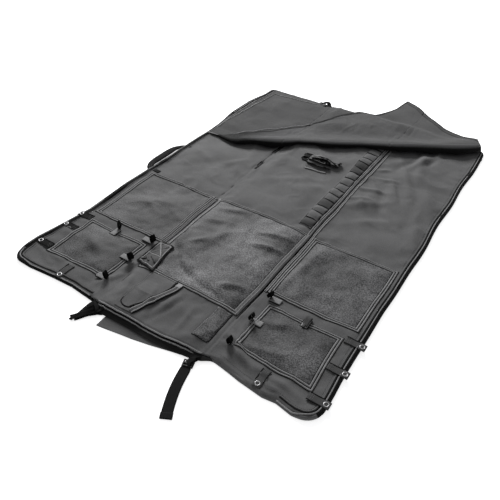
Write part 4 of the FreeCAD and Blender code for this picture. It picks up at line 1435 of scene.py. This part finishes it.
def buckle():
    """Side-release buckle with its webbing: ribbed socket, plug with two arms, and loose tape ends round it."""
    (x0, y0, z0), (x1, y1, z1) = span("buckle_socket")
    y = (y0 + y1) / 2
    socket = [
        ((x0, y0, z1 - 2.0), (x1, y1, z1), 0.8),
        ((x0, y0, z0), (x1, y1, z0 + 2.0), 0.8),
        ((x0 + 9, y0, z0 + 1), (x1, y0 + 2.0, z1 - 1), 0.6),
        ((x0 + 9, y1 - 2.0, z0 + 1), (x1, y1, z1 - 1), 0.6),
        ((x0, y0 + 1, z0 + 0.5), (x0 + 5, y1 - 1, z1 - 0.5), 0.8),
    ]
    for number in range(4):
        x = x0 + 10 + number * 5
        socket.append(((x, y0 + 4, z1 - 0.4), (x + 1.8, y1 - 4, z1 + 0.6), 0.3))
    ride(blocks("buckle_socket_body", socket), "mat_centre", "buckle", "buckle_socket")
    (x0, y0, z0), (x1, y1, z1) = span("buckle_plug")
    bar = x1 - 26
    plug = [
        ((bar, y0, z0), (bar + 5, y1, z1), 1.0),
        ((x1 - 5, y0 + 1, z0 + 1), (x1, y1 - 1, z1 - 1), 1.2),
        ((bar + 2, y0, z0 + 1), (x1 - 1, y0 + 4, z1 - 1), 1.0),
        ((bar + 2, y1 - 4, z0 + 1), (x1 - 1, y1, z1 - 1), 1.0),
        ((x0, y0 + 3.4, z0 + 2.2), (bar + 2, y0 + 7.6, z1 - 2.2), 0.8),
        ((x0, y1 - 7.6, z0 + 2.2), (bar + 2, y1 - 3.4, z1 - 2.2), 0.8),
        ((x0 + 3, y - 2.5, z0 + 2.6), (bar + 2, y + 2.5, z1 - 2.6), 0.6),
    ]
    ride(blocks("buckle_plug_body", plug), "plug", "buckle", "buckle_plug")

    def tape_path(rows):
        """A smooth line through places given from the middle of the buckle."""
        return curve_through([(x, y + shift, z) for x, shift, z in rows], 2.0)

    strap = band("buckle_tape", tape_path(BUCKLE_TAPE), 18, (0.2, 0.98, 0), 0.0, 1.4)
    ride(strap, "mat_centre", "webbing", "buckle_webbing")
    for label, rows in BUCKLE_LOOPS.items():
        path = tape_path(rows)
        sides = level_sides(path) * 0.85 + np.array([0, 0, 0.5])
        ride(band(f"buckle_loop_{label}", path, 13, sides), "mat_centre", "webbing")


# ---------------------------------------------------------------- handle, far buckle, straps and flap

HANDLE_SIDES = 16
HANDLE_WIDE, HANDLE_TALL = 10.4, 3.4


def handle():
    """Padded webbing carry handle, arched out from the left edge, and its sewn ends."""
    low, high = span("carry_handle")
    anchors = span("handle_anchors")
    x_in = anchors[1][0] + 6
    reach = low[0] + 18
    y0, y1 = low[1] + 6, high[1] - 6
    points = [(x_in, y0 - 8, 8.2), (x_in - 12, y0 - 3, 7.4), (reach + 9, y0 + 9, 6.4), (reach + 1, y0 + 30, 6.0),
              (reach, (y0 + y1) / 2, 6.0), (reach + 1, y1 - 30, 6.0), (reach + 9, y1 - 9, 6.4),
              (x_in - 12, y1 + 3, 7.4), (x_in, y1 + 8, 8.2)]
    path = curve_through(points, 2.5)
    sides = level_sides(path)
    share = np.linspace(0, 1, len(path))
    swell = 1 + 0.35 * smooth((0.5 - np.abs(share - 0.5)) / 0.25 - 0.5)
    turn = np.linspace(0, 2 * math.pi, HANDLE_SIDES, endpoint=False)
    up = np.array([0, 0, 1.0])
    rib = 1 + 0.05 * np.sin(2 * math.pi * share * len(path) * 2.5 / 5.0)
    ring = sides[:, None, :] * (HANDLE_WIDE * np.cos(turn))[None, :, None]
    ring = ring + up * (HANDLE_TALL * np.sin(turn))[None, :, None]
    points = path[:, None, :] + ring * (swell * rib)[:, None, None]
    grip = make_closed("handle_grip", points, ring_faces(len(path), HANDLE_SIDES), BLACK_TAPE_AND_SHADE, soft=False)
    ride(grip, "handle", "handle", "carry_handle")
    lines = [path[4:-4] + sides[4:-4] * offset + [0, 0, 3.0] for offset in (-3.4, 3.4)]
    ride(stitches("handle_thread", lines, PALE_THREAD, 0.3, 5.0, 3.0, 0.45, soft=False), "handle", "handle")
    ends = []
    for number, y in enumerate((y0 - 8, y1 + 8)):
        corner = np.array([x_in, y, 0])
        line = curve_through([corner + [d, 0, z] for d, z in ((-7, 8.4), (0, 10.2), (12, 11.6), (30, 11.4))], 2.0)
        ends.append(band(f"handle_end_{number}", line, 15, (0, 1, 0), 0.0, 1.6))
    ride(join("handle_ends", ends), "left_wing", "webbing", "handle_anchors")


def far_buckle():
    """Buckle frame hung from the far edge of the left wing by a tape loop, with slack tape over it."""
    low, high = span("far_edge_buckle")
    (x0, y0, z0), (x1, y1, z1) = low, high
    rows = [
        ((x0, y0, z0 + 1), (x0 + 4, y1, z1), 1.0),
        ((x1 - 4, y0, z0 + 1), (x1, y1, z1), 1.0),
        ((x0, y0, z0 + 1), (x1, y0 + 4, z1), 1.0),
        ((x0, y1 - 4, z0 + 1), (x1, y1, z1), 1.0),
        ((x0, y0 + 7, z0 + 2), (x1, y0 + 10, z1 + 1), 1.0),
    ]
    ride(blocks("far_buckle_body", rows), "left_wing", "buckle", "far_edge_buckle")
    rows = [(FAR - 10, 11.5), (FAR + 1, 11.6), (y0 + 6, 9.5), (y0 + 8.5, 6), (y0 + 2, 3.2), (FAR + 3, 2.4)]
    path = curve_through([((x0 + x1) / 2, y, z) for y, z in rows], 1.5)
    ride(band("far_buckle_tape", path, 14, (1, 0, 0)), "left_wing", "webbing")
    bands = (
        [(-206, FAR - 16, 15), (-200, FAR - 4, 20), (-186, FAR + 2, 23), (-172, FAR - 2, 19), (-164, FAR - 14, 15)],
        [(-192, FAR - 20, 15), (-186, FAR - 8, 17), (-178, FAR + 4, 15), (-176, FAR + 12, 9)],
    )
    slack = []
    for number, points in enumerate(bands):
        across = np.array([0.35 + 0.3 * number, 0.8 - 0.6 * number, 0.45])
        slack.append(band(f"far_slack_{number}", curve_through(points, 2.0), 12, across))
    ride(join("far_slack_tape", slack), "left_wing", "webbing")


STRAP_LENGTH = 163.0
# Places along the loose strap: distance from its root, shift to the side, height
STRAP_ROWS = ((0, 12.0, 7.0), (10, 4.5, 6.4), (21, 0.2, 5.0), (31, -1.0, 4.2), (42, -1.5, 3.6), (58, -2.4, 3.4),
              (80, -2.6, 3.4), (108, -1.0, 3.0), (138, 3.0, 2.6), (STRAP_LENGTH, 8.0, 2.4))
# Two sides, three bars and the base of the adjuster: low corner, high corner and bevel
ADJUSTER_BLOCKS = (
    ((-13, -9, 0.6), (-10.2, 9, 5.2), 1.0),
    ((10.2, -9, 0.6), (13, 9, 5.2), 1.0),
    ((-12, -9, 5.4), (12, -5.5, 7.0), 0.9),
    ((-12, -1.8, 5.6), (12, 2.0, 7.0), 0.9),
    ((-12, 5.5, 4.8), (12, 9, 6.4), 0.9),
    ((-12, -3, 0.4), (12, 3, 1.4), 0.4),
)


def strap_tail():
    """The loose strap at the near edge, its hemmed end and its adjuster."""
    turn = math.radians(15.6)
    way = np.array([math.sin(turn), -math.cos(turn), 0])
    side = np.array([-way[1], way[0], 0])
    root = np.array([137.0, NEAR - 1.5, 0])
    path = curve_through([root + way * d + side * s + np.array([0, 0, z]) for d, s, z in STRAP_ROWS], 2.5)
    across = np.cross([0, 0, 1.0], np.gradient(path, axis=0))
    across /= np.linalg.norm(across, axis=1, keepdims=True)
    share = np.linspace(0, 1, len(path))
    across = across * (0.72 + 0.28 * smooth((share - 0.12) / 0.14))[:, None]
    strap = band("loose_strap", path, 25, across, 0.0, 1.6, STRAP)
    hemmed = band("loose_strap_hem", path[-7:] + [0, 0, 0.9], 27, across[-7:], 0.0, 1.3, STRAP)
    ride(hemmed, "mat_centre", "strap")
    kink = curve_through([path[0] + [2, 2, 1.4], path[3] + [-3, 0, 3.4], path[6] + [2, 0, 4.0],
                          path[10] + [-2, 0, 2.6], path[13] + [0, 0, 1.2]], 2.0)
    root_loop = band("loose_strap_root", kink, 17, side * 0.92 + np.array([0, 0, 0.3]), 0.0, 1.4)
    ride(root_loop, "mat_centre", "webbing")
    ride(strap, "mat_centre", "strap", "strap_tail")
    lines = []
    for offset in (-10.5, 10.5):
        lines.append([p + s * offset for p, s in zip(path[8:-3], across[8:-3])])
    for d in (STRAP_LENGTH - 4, STRAP_LENGTH - 14):
        middle = path[np.argmin(np.abs(np.linalg.norm(path - path[0], axis=1) - d))]
        lines.append([middle - side * 10, middle + side * 10])
    thread = stitches("loose_strap_thread", lines, THREAD, 0.4, 3.6, 2.6, 0.4, soft=False)
    ride(thread, "mat_centre", "strap")
    low, high = span("strap_adjuster")
    centre = (low + high) / 2
    turned = axes_at(side, way, (0, 0, 1), (centre[0], centre[1], 0))
    frame_piece = blocks("adjuster_frame", ADJUSTER_BLOCKS, matrix=turned)
    adjuster = ride(frame_piece, "adjuster", "buckle", "strap_adjuster")


# Folded strap ends: places (x, distance beyond the near edge, height), last place from the corner, width and tilt
BUNDLE = (
    ([(-122, 6, 9), (-130, -8, 9), (-144, -28, 8), (-158, -50, 6.5)], (3, 8, 5), 15, 0.5),
    ([(-150, 6, 8), (-158, -10, 10), (-164, -30, 7), (-168, -54, 4.5)], (6, 4, 3.2), 14, -0.4),
    ([(-136, 4, 6), (-126, -10, 6), (-134, -24, 4), (-150, -42, 3.6), (-166, -66, 3)], None, 16, 0.1),
    ([(-160, 2, 12), (-150, -8, 13), (-138, -16, 11), (-132, -26, 7), (-142, -40, 6)], None, 12, 0.9),
    ([(-146, 4, 11), (-150, -10, 10), (-152, -26, 7), (-150, -40, 4)], None, 26, 0.3),
    ([(-126, 4, 8), (-130, -8, 8), (-142, -24, 7), (-156, -44, 5), (-168, -60, 3.4)], None, 22, -0.3),
    ([(-118, 4, 5), (-116, -8, 5), (-122, -16, 3.4), (-136, -26, 2.6)], None, 13, -0.2),
)
BUNDLE_LOWEST = 1.7


def strap_bundle():
    """Folded black strap ends that come out from under the near left of the centre zone."""
    corner = span("strap_bundle")[0]
    pieces = []
    for number, (rows, end, width, tilt) in enumerate(BUNDLE):
        points = [(x, NEAR + ahead, z) for x, ahead, z in rows]
        if end:
            points.append((corner[0] + end[0], corner[1] + end[1], end[2]))
        path = curve_through(points, 2.0)
        wave = tilt + 0.5 * np.sin(np.linspace(0, 5, len(path)) + number)
        upright = np.array([0, 0, 1.0])[None, :] * np.sin(wave)[:, None] * 0.45
        grid = strap_grid(path, width, level_sides(path) * np.cos(wave)[:, None] + upright)
        grid[..., 2] = np.maximum(grid[..., 2], BUNDLE_LOWEST)
        pieces.append(solid_sheet(f"bundle_band_{number}", grid, 1.3, BLACK_TAPE_AND_SHADE, soft=False))
    ride(join("strap_bundle_bands", pieces), "mat_centre", "webbing", "strap_bundle")


def pouch_flap():
    """Thin flap of the under pouch, lying out on the ground in front of the near edge."""
    low, high = span("pouch_flap")
    u, v = plan_grid((0, 0), (1, 1), 50, 20)
    x = low[0] + u * (high[0] - low[0])
    reach = (high[1] - low[1]) * (1 - 0.93 * u) + 4 * np.sin(math.pi * u)
    y = high[1] + 3 - v * (reach + 3)
    z = 1.6 + 3.2 * (1 - v) ** 2 + 0.9 * v * (1 + ripples(x, y, 91, 60)) * 0.6
    z = np.clip(z, 1.1, 5.0)
    flap = laid_sheet("pouch_flap_cloth", x, y, z, 0.8, FLAP, soft=False)
    ride(flap, "flap", "flap_fabric", "pouch_flap")


# ---------------------------------------------------------------- cover cloth, turned back over its diagonal

COVER_LEFT = span("cover_turned_left")
COVER_RIGHT = span("cover_turned_right")
COVER_TIP = np.array([67.0, span("cover_turned_centre")[1][1]])
COVER_START = np.array([COVER_LEFT[0][0] - 2, COVER_LEFT[0][1] - 8])
COVER_END = np.array([COVER_RIGHT[1][0] - 20, COVER_RIGHT[0][1] + 138])
COVER_RUN = (COVER_END - COVER_START) / np.linalg.norm(COVER_END - COVER_START)
COVER_NEAR_WAY = np.array([COVER_RUN[1], -COVER_RUN[0]])
ROLL_TOP = 40.5
COVER_SKIN = 1.3
COVER_ROWS = 181
TIP_SHARE = 0.5
CORNER_SHARE = 0.24
FOLD_SAG = 66


def along_curve(points, share):
    """Places at shares of the length of a smooth line through some points."""
    line = curve_through(points, 2.0)
    marks = np.clip(share, 0, 1) * (len(line) - 1)
    return np.stack([np.interp(marks, np.arange(len(line)), line[:, k]) for k in (0, 1)], axis=1)


def cover_boundaries(share):
    """The fold line, the free border beyond it, and the sewn border, at shares of the way along the fold."""
    sag = FOLD_SAG * smooth(share / 0.13) * (1 - np.clip(share - 0.2, 0, 1) / 0.8) ** 0.65
    fold = COVER_START + (COVER_END - COVER_START) * share[:, None] + sag[:, None] * COVER_NEAR_WAY
    x0, y0 = COVER_START
    x1, y1 = COVER_TIP
    hem = along_curve([(x0, y0), (x0 + 70, y0 + 8), (x0 + 96, y0 + 47), (x0 + 112, y0 + 88), (x0 + 136, y0 + 110),
                       (x0 + 161, y0 + 148), (x0 + 196, y0 + 166), (x0 + 242, y0 + 221), (x0 + 289, y0 + 277),
                       (x0 + 354, y0 + 399), (x0 + 400, FAR + 8), (x1 - 62, y1 - 208), (x1 - 22, y1 - 130), (x1, y1)],
                      share / TIP_SHARE)
    free = along_curve([(x1, y1), (x1 + 58, y1 - 36), (x1 + 124, y1 - 92), (x1 + 196, y1 - 146),
                        (x1 + 262, y1 - 184), (x1 + 312, y1 - 212), (x1 + 338, y1 - 228)],
                       (share - TIP_SHARE) / (1 - TIP_SHARE))
    border = np.where((share < TIP_SHARE)[:, None], hem, free)
    corner = np.array([COVER_START[0] + 14, FAR - 4])
    left = COVER_START + (corner - COVER_START) * np.clip(share / CORNER_SHARE, 0, 1)[:, None]
    beyond = np.clip((share - CORNER_SHARE) / (1 - CORNER_SHARE), 0, 1)[:, None]
    far = corner + (np.array([COVER_END[0], FAR - 1]) - corner) * beyond
    sewn = np.where((share < CORNER_SHARE)[:, None], left, far)
    return fold, border, sewn


def bridged(x, y):
    """Height of cloth that lies on the mat and hangs straight across the grooves of its folds."""
    return np.maximum(top(x, y), (top(x - 20, y) + top(x + 20, y)) / 2)


def base_height(x, y):
    """Height of the sewn layer, lying on the lining and dropping to the zip at its sewn borders."""
    inset = np.minimum(x - COVER_START[0], FAR - y)
    return edge_round(inset + 0.5, 12, 9.6, bridged(x, y) + 1.6) + 0.5 * creases(x, y, 61, 120)


def lying_height(x, y):
    """Height of the turned layer away from the fold: on the mat, over its far edge and on the ground."""
    on_mat = bridged(x, np.minimum(y, FAR - 14)) + 3.6
    ground = 2.5 + 2.2 * (1 + ripples(x, y, 65, 150)) * 0.5
    fall = smooth((y - FAR + 6) / 62)
    return on_mat * (1 - fall) + ground * fall


def cover_grids():
    """Grids of points for the sewn layer, the roll and the turned layer."""
    share = np.linspace(0, 1, COVER_ROWS)
    fold, border, sewn = cover_boundaries(share)
    low = base_height(fold[:, 0], fold[:, 1])
    full = (ROLL_TOP - low) / 2
    ripple = 1 + 0.1 * np.sin(share * 21) * np.sin(share * 9 + 1)
    radius = np.maximum(full * smooth(share / 0.26 + 0.12) * ripple, 0.5)
    radius = np.minimum(radius, full)
    high = low + 2 * radius

    t = np.linspace(0, 1, 40)[None, :]
    x = sewn[:, :1] + (fold[:, :1] - sewn[:, :1]) * t
    y = sewn[:, 1:] + (fold[:, 1:] - sewn[:, 1:]) * t
    base = np.dstack([x, y, base_height(x, y)])
    base[:, -1, 2] = low

    turn = np.linspace(-math.pi / 2, math.pi / 2, 15)[None, :]
    wavy = 1 + 0.3 * np.sin(share * 47) * np.sin(share * 17 + 0.6)
    bulge = radius[:, None] * 1.9 * np.cos(turn) * np.where(turn < 0, wavy[:, None], 1)
    x = fold[:, :1] + COVER_NEAR_WAY[0] * bulge
    y = fold[:, 1:] + COVER_NEAR_WAY[1] * bulge
    z = ((low + high) / 2)[:, None] + radius[:, None] * np.sin(turn)
    roll = np.dstack([x, y, z])

    t = np.linspace(0, 1, 70)[None, :] ** 1.15
    x = fold[:, :1] + (border[:, :1] - fold[:, :1]) * t
    y = fold[:, 1:] + (border[:, 1:] - fold[:, 1:]) * t
    away = np.hypot(x - fold[:, :1], y - fold[:, 1:])
    loft = np.exp(-(away / (66 + 60 * smooth((share - 0.8) / 0.2))[:, None]) ** 1.6)
    rest = lying_height(x, y)
    swell = 1.6 * ripples(x, y, 66, 170) * (1 - loft) + 1.3 * creases(x, y, 67, 210)
    z = rest + (high[:, None] - rest) * loft + np.maximum(swell, -1.0) * (1 - loft)
    turned = np.dstack([x, y, z])
    return base, roll, turned


def cut_to_zone(piece, low_x, high_x):
    """Keeps the part of a sheet between two planes across X."""
    with edited(piece) as mesh:
        for place, way in ((low_x, -1), (high_x, 1)):
            if place is None:
                continue
            geometry = mesh.verts[:] + mesh.edges[:] + mesh.faces[:]
            bmesh.ops.bisect_plane(mesh, geom=geometry, plane_co=(place * MM, 0, 0), plane_no=(way, 0, 0),
                                   clear_outer=True, dist=1e-6)


def thin_sheet(name, grid, material, zone):
    """A one-layer sheet cut to a zone."""
    piece = make(name, grid, grid_faces(*grid.shape[:2]), material)
    cut_to_zone(piece, *zone)
    merge_close(piece)
    return piece


def merge_close(piece):
    """Joins vertices that meet and removes loose ones."""
    with edited(piece) as mesh:
        bmesh.ops.remove_doubles(mesh, verts=mesh.verts[:], dist=0.0002)
        loose = [v for v in mesh.verts if not v.link_faces]
        bmesh.ops.delete(mesh, geom=loose, context="VERTS")


def thicken(piece, thickness):
    """Real thickness for a one-layer sheet."""
    modifier = piece.modifiers.new("thickness", "SOLIDIFY")
    modifier.thickness = thickness * MM
    modifier.offset = 0.0
    bpy.context.view_layer.objects.active = piece
    with bpy.context.temp_override(object=piece, active_object=piece):
        bpy.ops.object.modifier_apply(modifier="thickness")
    outward(piece)


def cover():
    """Zone by zone, the sewn layer, the layer turned back over it and the rolled bend between them."""
    base, roll, turned = cover_grids()
    zones = {"left": (None, -FOLD), "centre": (-FOLD, FOLD), "right": (FOLD, None)}
    for side, zone in zones.items():
        wing, body = BODY_OF_SIDE[side], f"cover_{side}"
        lower = thin_sheet(f"cover_{side}_sewn", base, COVER_SEWN, zone)
        upper = thin_sheet(f"cover_{side}_turned", turned, COVER_TIP_CLOTH if side == "left" else COVER, zone)
        bend = thin_sheet(f"cover_{side}_roll", roll, COVER_ROLL, zone)
        for piece, host, held in ((lower, wing, "laid"), (upper, body, "folded")):
            thicken(piece, COVER_SKIN)
            ride(piece, host, "cover_fabric")
        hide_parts(f"cover_base_{side}")
        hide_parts(f"cover_turned_{side}")
        thicken(bend, COVER_SKIN)
        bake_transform(bend)
    cover_edges(zones)


def hem_rows(turned, distances):
    """Lines on the turned layer at distances in from its free border."""
    columns = np.arange(turned.shape[1])
    lines = []
    for distance in distances:
        line = []
        for row in turned:
            gone = np.concatenate([[0], np.cumsum(np.linalg.norm(np.diff(row[::-1], axis=0), axis=1))])
            mark = np.interp(min(distance, gone[-1] * 0.8), gone, columns)
            line.append([np.interp(len(columns) - 1 - mark, columns, row[:, k]) for k in range(3)])
        lines.append(line)
    return np.array(lines).transpose(1, 0, 2)


def zone_rows(grid, low_x, high_x):
    """The rows of a band whose middle lies in a zone."""
    middle = grid[:, grid.shape[1] // 2, 0]
    return grid[(middle >= low_x) & (middle <= high_x)]


def cover_edges(zones):
    """Hem band round the free border, and piping with its zip along the sewn border."""
    base, roll, turned = cover_grids()
    hem_grid = hem_rows(turned, (0, 3, 9, 16, 21, 22.5)) + np.array([0, 0, 1.5])
    hem_grid[:, -1, 2] -= 1.2
    for side, (low_x, high_x) in zones.items():
        low_x = -1e4 if low_x is None else low_x
        high_x = 1e4 if high_x is None else high_x
        host = (f"cover_{side}", "cover_fabric")
        strip = zone_rows(hem_grid, low_x, high_x)
        ride(solid_sheet(f"cover_{side}_hem_band", strip, 0.7, COVER_BAND), *host)
        lines = [strip[:, 1] + [0, 0, 0.2], strip[:, 4]]
        ride(stitches(f"cover_{side}_hem_thread", lines, THREAD, 0.4, 4.0, 2.8, 0.5), *host)
        rim_tape = PALE_TAPE if side == "left" else COVER_BAND
        ride(tube(f"cover_{side}_hem", resample(strip[:, 0], 5.0), 1.6, rim_tape, sides=7), *host)
        inside = [p for p in base[:, 0] if low_x <= p[0] <= high_x]
        path = resample(np.array(inside) + [0, 0, 0.6], 5.0)
        ride(tube(f"cover_{side}_piping", path, 1.8, PIPING, sides=7), BODY_OF_SIDE[side], "binding")
        if side == "right":
            upper = np.concatenate([roll[-1, 7:], turned[-1, 1:14]])
            lower = np.concatenate([roll[-1, 7::-1], base[-1, ::-1][1:14]])
            count = min(len(upper), len(lower))
            mouth = np.stack([lower[:count], upper[:count]], axis=1) + np.array([0.8, -0.3, 0])
            ride(solid_sheet("cover_mouth_shade", mouth, 0.6, ZIP_AND_SHADE), *host)
            lip = tube("cover_mouth_lip", resample(upper + [1.0, -0.3, 0], 3.0), 1.4, PALE_TAPE, sides=7)
            ride(lip, *host)
        if side == "left":
            row = base[:, 3]
            path = resample(row[row[:, 0] <= high_x] + [0, 0, 1.2], 5.0)[12:-12]
            ride(tube("cover_left_second_piping", path, 1.5, PIPING, sides=7), "left_wing", "binding")


# ---------------------------------------------------------------- setting: floor, light, camera

FLOOR_HALF = 30.0
FLOOR_GLOW = 0.7


def floor():
    """A pale ground that shows the shadows."""
    mesh = bpy.data.meshes.new("floor")
    corners = [(x * FLOOR_HALF, y * FLOOR_HALF, 0) for x, y in ((-1, -1), (1, -1), (1, 1), (-1, 1))]
    mesh.from_pydata(corners, [], [(0, 1, 2, 3)])
    shader = Shader("floor_paper", 0.9, specular=0.1)
    shader.colour(shader.ramp(shader.noise(2, 2), ((0.0, 0.9), (1.0, 0.92))))
    shader.surface.inputs["Emission Color"].default_value = (1, 1, 1, 1)
    shader.surface.inputs["Emission Strength"].default_value = FLOOR_GLOW
    mesh.materials.append(shader.material)
    ground = bpy.data.objects.new("floor", mesh)
    bpy.context.scene.collection.objects.link(ground)


KEY_PLACE = (-2.6, 2.6, 2.3)
KEY_SIZE = 1.6
KEY_ENERGY = 290
WORLD_STRENGTH = 0.34


def lights():
    """A white surround and one broad lamp from the far left."""
    world = bpy.data.worlds.new("studio")
    world.use_nodes = True
    world.node_tree.nodes["Background"].inputs["Color"].default_value = (1, 1, 1, 1)
    world.node_tree.nodes["Background"].inputs["Strength"].default_value = WORLD_STRENGTH
    bpy.context.scene.world = world
    light = bpy.data.lights.new("key", "AREA")
    light.size, light.energy = KEY_SIZE, KEY_ENERGY
    lamp = bpy.data.objects.new("key", light)
    lamp.location = KEY_PLACE
    lamp.rotation_euler = (-Vector(KEY_PLACE)).to_track_quat("-Z", "Y").to_euler()
    bpy.context.scene.collection.objects.link(lamp)
    bpy.context.scene.view_settings.view_transform = "Standard"


CAMERA_AZIMUTH = math.radians(31.07)
CAMERA_ELEVATION = math.radians(40.17)
CAMERA_ROLL = math.radians(2.52)
CAMERA_DISTANCE = 1.5195
CAMERA_TARGET = Vector((0.0414, -0.2829, 0.0))
CAMERA_LENS = 39.34
CAMERA_SENSOR, CAMERA_REACH = 36, 100


def camera():
    """The view of the open mat from beyond its near right corner."""
    flat = math.cos(CAMERA_ELEVATION)
    forward = Vector((-math.sin(CAMERA_AZIMUTH) * flat, math.cos(CAMERA_AZIMUTH) * flat,
                      -math.sin(CAMERA_ELEVATION)))
    right = forward.cross(Vector((0, 0, 1))).normalized()
    up = right.cross(forward)
    tilt = Matrix.Rotation(CAMERA_ROLL, 3, -forward)
    right, up = tilt @ right, tilt @ up
    data = bpy.data.cameras.new("camera")
    data.lens = CAMERA_LENS
    data.sensor_width, data.clip_end = CAMERA_SENSOR, CAMERA_REACH
    eye = bpy.data.objects.new("camera", data)
    place = CAMERA_TARGET - forward * CAMERA_DISTANCE
    eye.matrix_world = Matrix((
        (right.x, up.x, -forward.x, place.x),
        (right.y, up.y, -forward.y, place.y),
        (right.z, up.z, -forward.z, place.z),
        (0, 0, 0, 1),
    ))
    bpy.context.scene.collection.objects.link(eye)
    bpy.context.scene.camera = eye


# ---------------------------------------------------------------- the object

floor()
lights()
camera()
simulate_linings()
mat_panels()
under_pouch()
fold_strips()
fold_piping()
grip_panels()
wing_edges()
near_edge()
sliders()
tabs()
ladder()
slip_pocket()
anchor_patch()
pile_strip()
buckle_patch()
buckle()
handle()
far_buckle()
strap_tail()
strap_bundle()
pouch_flap()
cover()
